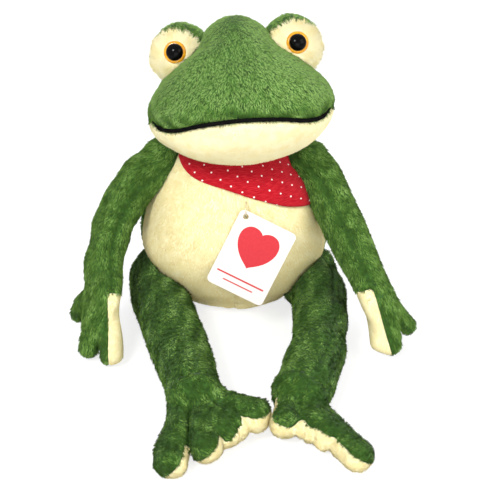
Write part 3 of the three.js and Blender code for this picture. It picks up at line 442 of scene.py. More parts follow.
def surface(distance, low, high, step=GRID):
    """Points, normals and quads of the surface where a distance is 0."""
    axes = [np.arange(low[i] - 2 * step, high[i] + 3 * step, step) for i in range(3)]
    grid = np.stack(np.meshgrid(*axes, indexing="ij"), -1)
    shape = grid.shape[:3]
    values = distance(grid.reshape(-1, 3)).reshape(shape)
    cells = tuple(n - 1 for n in shape)
    total = np.zeros(cells + (3,))
    hits = np.zeros(cells, int)
    crossings = []
    for axis in range(3):
        before = [slice(None)] * 3
        after = [slice(None)] * 3
        before[axis] = slice(0, -1)
        after[axis] = slice(1, None)
        start, end = values[tuple(before)], values[tuple(after)]
        crossed = (start < 0) != (end < 0)
        share = np.where(crossed, start / np.where(crossed, start - end, 1), 0)
        place = grid[tuple(before)].copy()
        place[..., axis] += share * step
        crossings.append((crossed, start < 0))
        others = [i for i in range(3) if i != axis]
        for a in (0, 1):
            for b in (0, 1):
                window = [slice(None)] * 3
                window[others[0]] = slice(a, a + cells[others[0]])
                window[others[1]] = slice(b, b + cells[others[1]])
                part = crossed[tuple(window)]
                total += place[tuple(window)] * part[..., None]
                hits += part
    used = hits > 0
    index = np.full(cells, -1)
    index[used] = np.arange(used.sum())
    points = total[used] / hits[used][:, None]
    quads = []
    for axis in range(3):
        crossed, inside = crossings[axis]
        b, c = [i for i in range(3) if i != axis]
        window = [slice(None)] * 3
        window[b] = slice(1, -1)
        window[c] = slice(1, -1)
        where = np.argwhere(crossed[tuple(window)])
        where[:, b] += 1
        where[:, c] += 1
        corners = []
        for db, dc in ((-1, -1), (0, -1), (0, 0), (-1, 0)):
            corner = where.copy()
            corner[:, b] += db
            corner[:, c] += dc
            corners.append(index[corner[:, 0], corner[:, 1], corner[:, 2]])
        quad = np.stack(corners, 1)
        flip = inside[where[:, 0], where[:, 1], where[:, 2]] == (axis == 1)
        quad[flip] = quad[flip][:, ::-1]
        quads.append(quad)
    quads = np.vstack(quads)
    for _ in range(3):
        slope = slope_of(distance, points)
        size = np.maximum((slope ** 2).sum(1), 0.05)
        points = points - np.clip(distance(points) / size, -step, step)[:, None] * slope
    return points, unit(slope_of(distance, points)), quads


def add_object(name, data):
    """A mesh, camera or lamp as an object in the scene."""
    thing = bpy.data.objects.new(name, data)
    bpy.context.scene.collection.objects.link(thing)
    return thing


def mesh_object(name, points, faces, materials, tints=None, smooth=True):
    """A piece from points in millimetres and faces that all have as many corners."""
    mesh = bpy.data.meshes.new(name)
    faces = np.asarray(faces)
    corners = faces.shape[1]
    mesh.vertices.add(len(points))
    mesh.vertices.foreach_set("co", (np.asarray(points) * MM).astype(np.float32).ravel())
    mesh.loops.add(faces.size)
    mesh.loops.foreach_set("vertex_index", faces.ravel().astype(np.int32))
    mesh.polygons.add(len(faces))
    mesh.polygons.foreach_set("loop_start", np.arange(len(faces), dtype=np.int32) * corners)
    for material in materials:
        mesh.materials.append(material)
    if tints is not None:
        mesh.polygons.foreach_set("material_index", tints.astype(np.int32))
    mesh.update(calc_edges=True)
    mesh.polygons.foreach_set("use_smooth", np.full(len(faces), smooth))
    return add_object(name, mesh)


def shell(points, normals, quads, thick):
    """A panel of cloth: the quads, a layer under them and a rim between the two."""
    used, inverse = np.unique(quads, return_inverse=True)
    top = inverse.reshape(quads.shape)
    count = len(used)
    outer = points[used]
    inner = outer - normals[used] * thick
    edges = np.vstack([top[:, [0, 1]], top[:, [1, 2]], top[:, [2, 3]], top[:, [3, 0]]])
    forward = edges[:, 0].astype(np.int64) * count + edges[:, 1]
    backward = edges[:, 1].astype(np.int64) * count + edges[:, 0]
    rim = edges[~np.isin(forward, backward)]
    walls = np.stack([rim[:, 1], rim[:, 0], rim[:, 0] + count, rim[:, 1] + count], 1)
    return np.vstack([outer, inner]), np.vstack([top, top[:, ::-1] + count, walls])


def loose_object(name, points, faces, materials, smooth=True):
    """A piece from points in millimetres and faces with any number of corners."""
    mesh = bpy.data.meshes.new(name)
    corners = [[int(v) for v in face] for face in faces]
    mesh.from_pydata((np.asarray(points, float) * MM).tolist(), [], corners)
    for material in materials:
        mesh.materials.append(material)
    mesh.polygons.foreach_set("use_smooth", np.full(len(mesh.polygons), smooth))
    mesh.update()
    return add_object(name, mesh)


def ring_faces(bands, rings, sides):
    """Quads of the bands between rings of points, where the ring after the last is the first."""
    return [(k * sides + i, k * sides + (i + 1) % sides, (k + 1) % rings * sides + (i + 1) % sides,
             (k + 1) % rings * sides + i) for k in range(bands) for i in range(sides)]


def lay_flat(piece, place_of):
    """A UV map of places on the flat cloth or card, from each corner's point; 1 is 100 mm."""
    corner = np.empty(len(piece.data.loops), int)
    piece.data.loops.foreach_get("vertex_index", corner)
    uv = piece.data.uv_layers.new(name="flat")
    uv.data.foreach_set("uv", (place_of(corner) * 0.01).astype(np.float32).ravel())


def settle(piece, body, slot, *nodes):
    """Puts a piece on what it rides on and hides the CAD nodes it replaces. The slot is not used."""
    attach(piece, body)
    if nodes:
        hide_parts(*nodes)
    return piece


def nearest_of(centres, points):
    """For each point, the number of the centre nearest to it."""
    tree = KDTree(len(centres))
    for i, centre in enumerate(centres):
        tree.insert(centre, i)
    tree.balance()
    return np.array([tree.find(point)[1] for point in points])


def pile(name, points, normals, quads, style, seed):
    """Short tufts that stand on a panel in small locks, each tuft a closed three-sided cone."""
    random = np.random.default_rng(seed)
    triangles = np.vstack([quads[:, [0, 1, 2]], quads[:, [0, 2, 3]]])
    a, b, c = (points[triangles[:, i]] for i in range(3))
    area = np.linalg.norm(np.cross(b - a, c - a), axis=1) / 2
    count = min(int(area.sum() / TUFT_SPACE), MOST_TUFTS)
    ends = np.cumsum(area)
    chosen = np.searchsorted(ends, (np.arange(count) + random.random(count)) / count * ends[-1])
    chosen = np.minimum(chosen, len(triangles) - 1)
    u, v = random.random((2, count))
    over = u + v > 1
    u[over], v[over] = 1 - u[over], 1 - v[over]
    corner = triangles[chosen]
    weigh = np.stack([1 - u - v, u, v], 1)[..., None]
    root = (points[corner] * weigh).sum(1)
    normal = unit((normals[corner] * weigh).sum(1))

    def at_roots(key):
        """The style's value at each root, from a plain value or a function of the place."""
        return np.asarray(style[key](root) if callable(style[key]) else style[key], float)

    lay = unit(at_roots("lay")) + style["curl"] * waves(root, style["clump"], seed + 1)
    lay += style["wander"] * waves(root, 14, seed + 2) + style["stray"] * random.normal(size=(count, 3))
    lay = unit(lay - (lay * normal).sum(1)[:, None] * normal)
    rise = style["rise"] + style["ruffle"] * ripple(root, style["clump"], seed + 3)
    fringe = at_roots("fringe")
    rise = np.clip(rise + 0.4 * fringe + 0.1 * random.normal(size=count), 0.08, 1.2)
    seam = at_roots("seams")
    length = style["length"] * random.uniform(0.75, 1.1, count) * (0.4 + 0.6 * np.clip(seam / 2.4, 0, 1))
    length *= 1 + 0.8 * fringe
    heading = lay * np.cos(rise)[:, None] + normal * np.sin(rise)[:, None]
    tip = root + heading * length[:, None]

    locks = random.choice(count, max(int(area.sum() / style["lock"]), 1), replace=False)
    mine = locks[nearest_of(root[locks], root)]
    gather = style["gather"] * random.uniform(0.6, 1.0, count)[:, None]
    gathered = root[mine] + heading[mine] * style["length"] + 0.25 * random.normal(size=(count, 3))
    tip += gather * (gathered - tip)
    under = ((tip - root) * normal).sum(1)
    tip += np.maximum(0.35 - under, 0)[:, None] * normal

    heading = unit(tip - root)
    sideways = unit(np.cross(heading, normal))
    upright = np.cross(sideways, heading)
    tip[:, 2] = np.maximum(tip[:, 2], 0.2)
    base = root - normal * 0.35
    radius = style["width"] / 2 * random.uniform(0.8, 1.2, count)[:, None]
    ways = [math.cos(turn) * upright + math.sin(turn) * sideways
            for turn in (math.pi / 2, math.pi * 7 / 6, math.pi * 11 / 6)]
    places = np.stack([base + radius * way for way in ways] + [tip], 1).reshape(-1, 3)
    own = np.stack(ways + [upright], 1).reshape(-1, 3)
    facing = unit(np.repeat(normal, 4, 0) * (1 - style["own"]) + own * style["own"])
    first = np.arange(count)[:, None] * 4
    faces = np.stack([first + [0, 1, 3], first + [1, 2, 3], first + [2, 0, 3], first + [0, 2, 1]], 1)
    # Tints: random patches, locks and flecks, plus the style's shade, which some panels use as painted light
    # and shade, and seam_shade, which paints shade along seams and creases where it is negative and a lighter
    # line where it is positive.
    shade = ripple(root, 11, seed + 4) * style["patchy"] + random.normal(size=count)[mine] * style["locky"]
    shade = (shade + random.normal(size=count) * style["fleck"] + at_roots("shade")
             + style["seam_shade"] * np.exp(-(seam / 1.6) ** 2))
    tint = np.digitize(shade, style["levels"])
    tufts = mesh_object(name, places, faces.reshape(-1, 3), style["tints"], np.repeat(tint, 4))
    tufts.data.normals_split_custom_set_from_vertices(facing.tolist())
    return tufts


def snap(skin, region, distance):
    """Moves the corners between two panels onto their seam, where region is 0."""
    inside = region(skin["middles"]) > 0
    for _ in range(3):
        share = np.bincount(skin["quads"].ravel(), np.repeat(inside, 4).astype(float), len(skin["points"]))
        share /= np.maximum(np.bincount(skin["quads"].ravel(), minlength=len(skin["points"])), 1)
        inside = share[skin["quads"]].mean(1) > 0.5
    shared = np.intersect1d(skin["quads"][inside], skin["quads"][~inside])
    places, normals = skin["points"][shared], skin["normals"][shared]
    for _ in range(4):
        slope = slope_of(region, places, 0.3)
        slope -= (slope * normals).sum(1)[:, None] * normals
        size = np.maximum((slope ** 2).sum(1), 0.2)
        places = places - np.clip(region(places) / size, -GRID * 0.45, GRID * 0.45)[:, None] * slope
        normals = unit(slope_of(distance, places))
        places = places - distance(places)[:, None] * normals
    far = np.linalg.norm(places - skin["points"][shared], axis=1) > GRID * 1.3
    places[far] = skin["points"][shared][far]
    skin["points"][shared] = places
    skin["normals"][shared] = normals
    return inside


# Body
def body_sizes(height):
    line = smooth_line(BODY_RINGS, 240)
    return (np.interp(height, line[:, 0], line[:, 1]), np.interp(height, line[:, 0], line[:, 2]))


def body_middle(height):
    low = np.maximum(0, 1 - height / TUCK[1])
    return BODY_SET_BACK + height * math.tan(BODY_LEAN) + TUCK[0] * low ** 2


def back_at(height):
    return body_middle(height) + body_sizes(height)[1]


def body_distance(points):
    low, high = BODY_RINGS[0], BODY_RINGS[-1]
    x, y, z = points.T
    width, depth = body_sizes(np.clip(z, low[0], high[0]))
    off = y - body_middle(z)
    near = np.hypot(x / width, off / depth)
    side = near * (near - 1) / np.maximum(np.hypot(x / width ** 2, off / depth ** 2), 1e-9)
    form = np.maximum(side, np.maximum(low[0] - z, z - high[0]))
    for (height, half_width, half_depth), cap in zip((low, high), BODY_CAPS):
        end = ellipsoid(points, (0, body_middle(height), height), (half_width, half_depth, cap))
        form = smooth_min(form, end, 3)
    return form


BACKWARDS = np.array([0, math.cos(BODY_LEAN), -math.sin(BODY_LEAN)])


def behind_side_seam(points):
    """How far a point lies behind the seams at the body's sides."""
    return (points - np.array([0, SIDE_SEAM, 0])) @ BACKWARDS


def groove(off, seam):
    depth, width = seam
    return depth * np.exp(-(off / width) ** 2)


def uneven(points, part, more=0):
    """The soft unevenness of a part's skin."""
    rise, length, seed = UNEVEN[part]
    return rise * ripple(points, length, seed + more)


def body_skin(points):
    """The body with its seams drawn in and soft unevenness."""
    form = body_distance(points) + groove(behind_side_seam(points), SEAMS["side"])
    low = np.clip((34 - points[:, 2]) / 14, 0, 1) * (points[:, 1] < 0)
    form = form + groove(points[:, 0], SEAMS["belly"]) * low
    form = form + uneven(points, "body") + SET_IN["body"]
    return np.maximum(form, FLOOR_CLEAR - points[:, 2])


# Head
HEAD_AXES = turned(turned(np.eye(3), 1, -HEAD_ROLL), 0, -HEAD_TILT).T


def into_head(points):
    return (points - np.array(HEAD_AT)) @ HEAD_AXES


def out_of_head(places):
    return np.asarray(places, float) @ HEAD_AXES.T + np.array(HEAD_AT)


def mouth_height(x):
    line = smooth_line([(-a, z) for a, z in MOUTH[:0:-1]] + MOUTH, 120)
    return np.interp(x, line[:, 0], line[:, 1])


def head_distance(points):
    local = into_head(points)
    form = ellipsoid(local, *HEAD_FORMS[0])
    for middle, half in HEAD_FORMS[1:]:
        form = smooth_min(form, ellipsoid(local, middle, half), 7)
    return form


def below_mouth(points):
    """How far a point lies in the jaw's panel: positive inside it."""
    x, y, z = into_head(points).T
    return np.minimum(mouth_height(x) - z, JAW_BACK - y)


def head_skin(points):
    off = ((points - BROW["at"]) ** 2).sum(1)
    form = head_distance(points) + SET_IN["head"] - BROW["rise"] * np.exp(-off / BROW["spread"] ** 2)
    form = form + groove(below_mouth(points), SEAMS["mouth"]) * (into_head(points)[:, 1] < JAW_BACK + 4)
    form = form + uneven(points, "head")
    return np.maximum(form, NECK_CLEAR - body_distance(points))


def sided(vector, side):
    """A place or direction that is given for the left side, on either side."""
    return np.array(vector) * (side, 1, 1)


def mound_distance(points, side):
    return ellipsoid(into_head(points), sided(MOUND[0], side), MOUND[1])


def patch_side(points, side):
    """How far a point lies in the cream patch of an eye's mound: positive inside it."""
    facing = unit(sided(PATCH_FACING[side], side))
    return (into_head(points) - sided(MOUND[0], side)) @ facing - PATCH_SET_IN


# Limbs
class Limb:
    """A sleeve along a smooth line, its digits, and the ball at its joint."""

    def __init__(self, shape, joint, thin, caps, ball):
        self.side = shape["side"]
        self.joint = joint_at(joint)
        self.ball = ball
        reach = [(self.place(place), across, through) for place, across, through in shape["reach"]]
        self.stations = [place for place, _, _ in reach]
        self.sleeve = tube(reach, thin, caps, 22)
        self.digits = [self.digit(thin, *digit) for digit in shape["digits"]]
        self.line = smooth_line(self.stations, 40)
        self.along = unit(np.gradient(self.line, axis=0))

    def place(self, place):
        return self.joint + sided(place, self.side)

    def digit(self, thin, start, end, across, through):
        a, b = self.place(start), self.place(end)
        stations = [(a, across * 0.8, through * 0.9), (a + 0.55 * (b - a), across * 0.92, through),
                    (b, across, through)]
        return tube(stations, thin, (3, across * 0.8), 5)

    def nearest(self, points):
        """The number of the middle line's point that is nearest to each point."""
        return np.argmin(((points[:, None] - self.line[None, ::2]) ** 2).sum(2), 1) * 2

    def lay(self, points):
        """The pile lies along the limb."""
        return self.along[self.nearest(points)]

    def beside(self, points):
        """From the middle line to each point, square to the line."""
        nearest = self.nearest(points)
        off = points - self.line[nearest]
        return off - (off * self.along[nearest]).sum(1)[:, None] * self.along[nearest]

    def clear_sleeve(self, points):
        """The sleeve, clear of the body."""
        return np.maximum(self.sleeve(points), LIMB_CLEAR - body_distance(points))

    def covered(self, form, points, dents):
        """A form with the joint's ball, and with seams and dents that stay short of the stuffing."""
        ball = np.linalg.norm(points - self.joint, axis=1) - self.ball
        return smooth_min(form, ball, 3) + np.minimum(dents, DEEPEST)


def arm_parts(name):
    shape = ARMS[name]
    thin = unit(sided(PALM_FACING, shape["side"]))
    limb = Limb(shape, name + "_shoulder", thin, (3, 6), SHOULDER_RADIUS)
    wrist = limb.stations[5]
    hand = unit(limb.stations[6] - wrist)

    def seams(points):
        """How far a point lies from the seams between the arm's two halves."""
        return np.abs(limb.beside(points) @ thin - shape["seam_in"])

    def distance(points):
        form = limb.clear_sleeve(points)
        for finger in limb.digits:
            form = smooth_min(form, finger(points), 3)
        dents = SET_IN["arm"] + groove(seams(points), SEAMS["arm"]) * ((points - wrist) @ hand < 0)
        return limb.covered(form, points, dents + uneven(points, "arm", limb.side))

    def palm(points):
        """How far a point lies in the palm's panel: positive inside it."""
        inwards = (points - wrist) @ unit(shape["palm_facing"]) - shape["palm_in"]
        handwards = (points - wrist) @ hand + PALM_START
        return np.minimum(np.minimum(inwards, handwards), limb.digits[0](points) - 1.2)

    return limb, distance, palm, seams


def leg_parts(name):
    shape = LEGS[name]
    limb = Limb(shape, name + "_hip", np.array([0, 0, 1.0]), (4, 12), HIP_RADIUS)
    ankle = limb.stations[5]
    foot = unit(ankle - limb.stations[4])
    facing, seam_way = unit(shape["sole_facing"]), unit(shape["seam"])

    def past_ankle(points):
        return (points - ankle) @ foot

    def seams(points):
        """How far a point lies from the seam along the leg's top."""
        off = limb.beside(points)
        return np.abs(off @ np.array([seam_way[2], 0, -seam_way[0]])) + FAR * (off @ seam_way < 0)

    def creases(points):
        """How far a point lies from the creases between the toes."""
        away = np.sort([toe(points) for toe in limb.digits[:3]], axis=0)
        return away[1] - away[0]

    def distance(points):
        toes = limb.digits[0](points)
        for toe in limb.digits[1:]:
            toes = smooth_min(toes, toe(points), 1.4)
        form = smooth_min(limb.clear_sleeve(points), toes, 4)
        past = past_ankle(points)
        dents = SET_IN["leg"] + groove(seams(points), SEAMS["leg"]) * (past < 0)
        dents = dents + uneven(points, "leg", limb.side)
        dents = dents + groove(creases(points), SEAMS["toes"]) * (past > 4)
        dents = dents + 0.18 * np.sin(points[:, 1] / 2.9 + 3 * ripple(points, 40, 44))
        return np.maximum(limb.covered(form, points, dents), FLOOR_CLEAR - points[:, 2])

    def sole(points):
        """How far a point lies in the sole's panel: positive inside it."""
        away = np.array([toe(points) for toe in limb.digits])
        under = []
        for (start, end, _, _), inset in zip(shape["digits"], shape["sole_in"]):
            way = unit(limb.place(end) - limb.place(start))
            across = unit(facing - (facing @ way) * way)
            under.append((points - limb.place(start)) @ across - inset)
        share = np.exp((away.min(0) - away) / 0.8)
        return np.minimum((share * under).sum(0) / share.sum(0), SOLE_REACH - away.min(0))

    return limb, distance, sole, past_ankle, seams, creases


# Finishes
GREEN_TINTS = [
    plain("green_pile_" + name, colour, 0.85, sheen, specular) for name, colour, sheen, specular in (
        ("deep", (58, 88, 32), 0.1, 0.1), ("dark", (78, 111, 45), 0.12, 0.1),
        ("mid", (97, 132, 58), 0.15, 0.12), ("light", (118, 154, 76), 0.15, 0.12),
        ("pale", (136, 172, 93), 0.15, 0.12))]
CREAM_TINTS = [
    plain("cream_pile_" + name, colour, 0.9, 0.15, 0.08) for name, colour in (
        ("deep", (236, 217, 152)), ("mid", (241, 225, 162)), ("light", (245, 231, 174)),
        ("pale", (247, 237, 192)))]
# The green cloth is darker than its tufts: painted shade at the roots of the pile, where it shows between
# them.
GREEN_CLOTH = mottled("green_plush_cloth", (34, 62, 18), (58, 98, 34), 300, 0.95, 0.6, 2500, 0.1)
CREAM_CLOTH = mottled("cream_plush_cloth", (240, 228, 176), (251, 243, 202), 200, 0.95, 0.3, 2500, 0.1)
BLACK_CLOTH = mottled("black_piping_cloth", (9, 9, 9), (20, 19, 19), 400, 0.9, 0.5, 2500, 0, specular=0.05)
AMBER = mottled("amber_plastic", (204, 132, 8), (232, 166, 22), 300, 0.22, 0.05, 900, 0, coat=0.4)
PUPIL = mottled("black_gloss", (4, 4, 5), (9, 8, 8), 200, 0.06, 0.01, 900, 0, specular=0.07)
DOTTED_CLOTH = dotted("dotted_cotton")
DOTTED_TIE = dotted("dotted_cotton_tie", by_place=True)
CARD = printed_card("tag_card")
NYLON = mottled("clear_nylon", (236, 232, 214), (248, 246, 236), 300, 0.2, 0.02, 900, 0, transmission=0.85)
TAPE = mottled("label_satin", (238, 236, 228), (250, 249, 244), 500, 0.5, 0.3, 4000, 0.1)

# Pile. The first three are for one tuft, and the rest say how tufts differ, gather and take their tints;
# shade and seam_shade also paint light and shade.
GREEN_PILE = {
    "length": 3.1, "width": 0.6, "rise": 0.30, "ruffle": 0.10, "curl": 0.20, "clump": 5, "wander": 0.2,
    "stray": 0.12, "lock": 3, "gather": 0.5, "patchy": 0.35, "locky": 0.42, "own": 0.62, "fleck": 0.3,
    "seams": FAR, "fringe": 0, "seam_shade": -1.4, "tints": GREEN_TINTS, "levels": [-1.1, -0.4, 0.4, 1.1],
    "shade": 0}
LEG_PILE = GREEN_PILE | {
    "length": 2.8, "width": 0.55, "rise": 0.4, "ruffle": 0.14, "curl": 0.3, "lock": 2.4, "patchy": 0.75,
    "locky": 0.6, "own": 0.8}
CREAM_PILE = GREEN_PILE | {
    "length": 2.6, "rise": 0.16, "ruffle": 0.03, "curl": 0.06, "clump": 8, "wander": 0.16, "stray": 0.08,
    "lock": 6, "gather": 0.12, "patchy": 0.4, "locky": 0.12, "own": 0.1, "fleck": 0.06, "seam_shade": -1.3,
    "tints": CREAM_TINTS, "levels": [-0.8, 0.3, 1.2]}
BLACK_PILE = GREEN_PILE | {
    "length": 1.3, "width": 0.45, "rise": 0.5, "ruffle": 0.2, "curl": 0.5, "clump": 4, "wander": 0.3,
    "stray": 0.35, "gather": 0.2, "patchy": 0, "locky": 0, "own": 0.5, "fleck": 0, "seam_shade": 0,
    "tints": [plain("black_pile", (13, 12, 12), 0.9, 0.0, 0.04)], "levels": []}
GREEN = (GREEN_CLOTH, "green_plush", GREEN_PILE)
GREEN_LEG = (GREEN_CLOTH, "green_plush", LEG_PILE)
CREAM = (CREAM_CLOTH, "cream_plush", CREAM_PILE)


# Panels
def skin_of(distance, nodes, step=GRID):
    """A cover's surface, in the room that its CAD nodes take."""
    boxes = np.array([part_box(name) for name in nodes]) / MM
    points, normals, quads = surface(distance, boxes[:, 0].min(0), boxes[:, 1].max(0), step)
    return {"points": points, "normals": normals, "quads": quads, "middles": points[quads].mean(1)}


def panel(name, skin, chosen, plush, body, node, seed, hidden=False, **changes):
    """One sewn panel with its pile, in place of a CAD node. The changes are to the pile's style."""
    material, slot, style = plush
    points, faces = shell(skin["points"], skin["normals"], skin["quads"][chosen], SKIN)
    cloth = mesh_object(name, points, faces, [material])
    settle(cloth, body, slot, node)
    shown = skin["quads"][chosen & ~np.asarray(hidden)]
    settle(pile(name + "_pile", skin["points"], skin["normals"], shown, style | changes, seed), body, slot)


def under_cloth(points):
    """Where the neckerchief or the label covers the body, so that no pile comes through them."""
    x, y, z = points.T
    width, depth = body_sizes(z)
    angle = np.degrees(np.arctan2((y - body_middle(z)) / depth, x / width))
    wrapped = (z > scarf_low(angle) + 1.5) & (z < SCARF_TOP - 1)
    above = z - LABEL["height"]
    labelled = (y > 0) & (np.abs(x) < LABEL["width"] / 2 + 0.8)
    labelled &= (above > -LABEL["length"] / 2 - 0.5) & (above < LABEL["length"] / 2 + 2.8)
    return wrapped | labelled


def make_body():
    skin = skin_of(body_skin, ["back_cover", "belly_cover"])
    behind = snap(skin, behind_side_seam, body_skin)
    hidden = (skin["middles"][:, 2] < ON_FLOOR) | under_cloth(skin["middles"])
    for side in ("right", "left"):
        for joint, radius in (("_hip", HIP_RADIUS), ("_shoulder", SHOULDER_RADIUS)):
            hidden |= np.linalg.norm(skin["middles"] - joint_at(side + joint), axis=1) < radius - 3
    panel("back", skin, behind, GREEN, "torso", "back_cover", 100, hidden, lay=(0, 0, -1))
    panel("belly", skin, ~behind, CREAM, "torso", "belly_cover", 101, hidden,
          lay=lambda points: points * (0.012, 0, 0) - (0, 0, 1))


def head_lay(points):
    """Outwards and down in front, and down and to the back behind."""
    x, y, _ = into_head(points).T
    out = np.sign(x) * np.minimum(np.abs(x) / 30, 1) * 0.8
    share = np.clip(y / 20 + 0.5, 0, 1)
    return np.column_stack([out * (1 - share), 0.7 * share - 0.1, 0 * x - 1]) @ HEAD_AXES.T


def brow_shade(points):
    """Painted light: the whole head's pile is a step lighter than the limbs', as where light falls on its
    flat nap. Darker in tufts just above the mouth.
    """
    return 1.45 - (1.8 + 1.0 * ripple(points, 9, 77)) * np.exp(-(below_mouth(points) / 9) ** 2)


def lip_fringe(points):
    """1 at the mouth's line, where longer tufts hang over the piping, and 0 away from it."""
    return np.exp(-(below_mouth(points) / 2.6) ** 2)


def make_head():
    skin = skin_of(head_skin, ["head_cover", "jaw_cover"])
    middles = skin["middles"]
    jaw = snap(skin, below_mouth, head_skin)
    open_neck = NECK_CLEAR - body_distance(middles) > -0.4
    under_mound = np.minimum(mound_distance(middles, -1), mound_distance(middles, 1)) < -2
    # brow_shade lifts the head's tints as painted light, against the limbs' painted shade.
    panel("head", skin, ~jaw & ~open_neck, GREEN, "head", "head_cover", 110, under_mound, lay=head_lay,
          length=2.6, width=0.5, rise=0.18, own=0.25, gather=0.25, patchy=0.3, locky=0.08, fleck=0.1,
          shade=brow_shade, fringe=lip_fringe)
    panel("jaw", skin, jaw & ~open_neck, CREAM, "head", "jaw_cover", 111, lay=(0, 0.5, -1), length=1.8,
          rise=0.25, shade=1.5)


def make_arm(name):
    limb, distance, palm, seams = arm_parts(name)
    arm = name + "_arm"
    skin = skin_of(distance, [arm + "_cover", name + "_palm"])
    inside = snap(skin, palm, distance)
    hidden = body_distance(skin["middles"]) < BY_BODY
    # Painted shade: the arm's pile takes darker tints than the head's, though it is the same plush.
    panel(arm, skin, ~inside, GREEN, arm, arm + "_cover", 120, hidden, lay=limb.lay, seams=seams, shade=-0.3)
    panel(name + "_palm_panel", skin, inside, CREAM, arm, name + "_palm", 121, lay=limb.lay, length=1.8)


def make_leg(name):
    limb, distance, sole, past_ankle, seams, creases = leg_parts(name)
    leg = name + "_leg"
    skin = skin_of(distance, [leg + "_cover", name + "_foot_top", name + "_sole"])
    under = snap(skin, sole, distance)
    toes = (past_ankle(skin["middles"]) + ANKLE_SET_BACK > 0) & ~under

    def lay(points):
        way = limb.lay(points)
        return way + LEG_SLANT * np.cross(way, (0, 0, limb.side))

    # Painted shade: the foot's tufts darken along the sole's seam and in the creases between the toes.
    def seams_and_toe_creases(points):
        return np.minimum(np.abs(sole(points)) * 1.2 + 0.7, creases(points) + 0.2)

    # Painted shade: the toes' pile grows darker towards their tips.
    def foot_shade(points):
        return -0.5 - 0.015 * (past_ankle(points) + ANKLE_SET_BACK)

    on_floor = skin["middles"][:, 2] < ON_FLOOR
    hidden = (body_distance(skin["middles"]) < BY_BODY) | on_floor
    # Painted shade: the leg's pile takes darker tints than the head's, though it is the same plush.
    panel(leg, skin, ~under & ~toes, GREEN_LEG, leg, leg + "_cover", 130, hidden, lay=lay, seams=seams,
          seam_shade=LEGS[name]["seam_shade"], shade=-0.4)
    panel(name + "_foot", skin, toes, GREEN_LEG, leg, name + "_foot_top", 131, hidden, lay=lay,
          seams=seams_and_toe_creases, seam_shade=-2.2, shade=foot_shade)
    panel(name + "_foot_sole", skin, under, CREAM, leg, name + "_sole", 132, on_floor, lay=lay, length=2.2,
          rise=0.35, stray=0.3, own=0.22)


# Eyes
def mound_skin(side):
    def distance(points):
        form = mound_distance(points, side) + SET_IN["mound"]
        form = form + groove(patch_side(points, side), SEAMS["patch"])
        return form + uneven(points, "mound", side)
    return distance


def eye_place(side, places):
    """Places round an eye's axis, which runs along y, put into the model."""
    middle, half = MOUND
    flat = 1 - ((EYE["out"] - middle[0]) / half[0]) ** 2 - ((EYE["up"] - middle[2]) / half[2]) ** 2
    front = middle[1] - half[1] * math.sqrt(flat)
    seat = (side * EYE["out"], front + EYE["sink"], EYE["up"])
    return out_of_head(turned(places, 2, side * EYE_TURN) + seat)


def lathe(profile, sides):
    """Points and faces of a closed form turned round an axis, from pairs of radius and y."""
    turns = np.arange(sides) / sides * 2 * math.pi
    points = [(0, profile[0][1], 0)]
    for radius, y in profile[1:-1]:
        points += [(radius * math.cos(t), y, radius * math.sin(t)) for t in turns]
    points.append((0, profile[-1][1], 0))
    faces = []
    rows = len(profile) - 2
    last = 1 + (rows - 1) * sides
    for i in range(sides):
        j = (i + 1) % sides
        faces.append((0, 1 + i, 1 + j))
        for row in range(rows - 1):
            a, b = 1 + row * sides, 1 + (row + 1) * sides
            faces.append((a + i, b + i, b + j, a + j))
        faces.append((last + i, len(points) - 1, last + j))
    return points, faces


def make_eye(name, side):
    distance = mound_skin(side)
    skin = skin_of(distance, [name + "_eye_hood", name + "_eye_patch"], 1.5)
    patch = snap(skin, lambda points: patch_side(points, side), distance)
    outside = head_distance(skin["middles"]) > 0.2
    x, y, z = into_head(skin["middles"]).T
    behind_eye = (np.hypot(x - side * EYE["out"], z - EYE["up"]) < EYE["radius"] - 0.8) & (y < 0)

    def outwards(points):
        """Away from the middle of the patch."""
        off = into_head(points) - sided(MOUND[0], side)
        facing = unit(sided(PATCH_FACING[side], side))
        return (off - (off @ facing)[:, None] * facing) @ HEAD_AXES.T

    panel(name + "_hood", skin, ~patch & outside, GREEN, "head", name + "_eye_hood", 140,
          lay=lambda points: -outwards(points), length=2.8, shade=0.7)
    panel(name + "_patch", skin, patch & outside, CREAM, "head", name + "_eye_patch", 141, behind_eye,
          lay=outwards, length=4.2, rise=0.5, stray=0.22, gather=0.35, own=0.25, shade=1.4)

    r, rim, rise, pupil = (EYE[key] for key in ("radius", "rim", "rise", "pupil"))
    disc = [(0, 0.4), (r - 0.4, 0.4), (r - 0.1, 0.1), (r, -0.4), (r - 0.25, -0.95), (r - 0.8, -1.35),
            (r - 1.4, -rim - 0.05), (r - 1.8, -rim), (0, -rim)]
    turns = [math.pi / 2 - k / 14 * math.pi / 2 for k in range(1, 15)]
    dome = [(0, -rim - rise)] + [(pupil * math.cos(t), -rim - rise * math.sin(t)) for t in turns]
    dome += [(pupil, -rim + 0.4), (0, -rim + 0.4)]
    for part, profile, material, slot in (("iris", disc, AMBER, "iris_amber"),
                                          ("pupil", dome[::-1], PUPIL, "pupil_gloss")):
        points, faces = lathe(profile, 64)
        piece = loose_object(name + "_" + part, eye_place(side, points), faces, [material])
        settle(piece, "head", slot, name + "_eye_" + part)


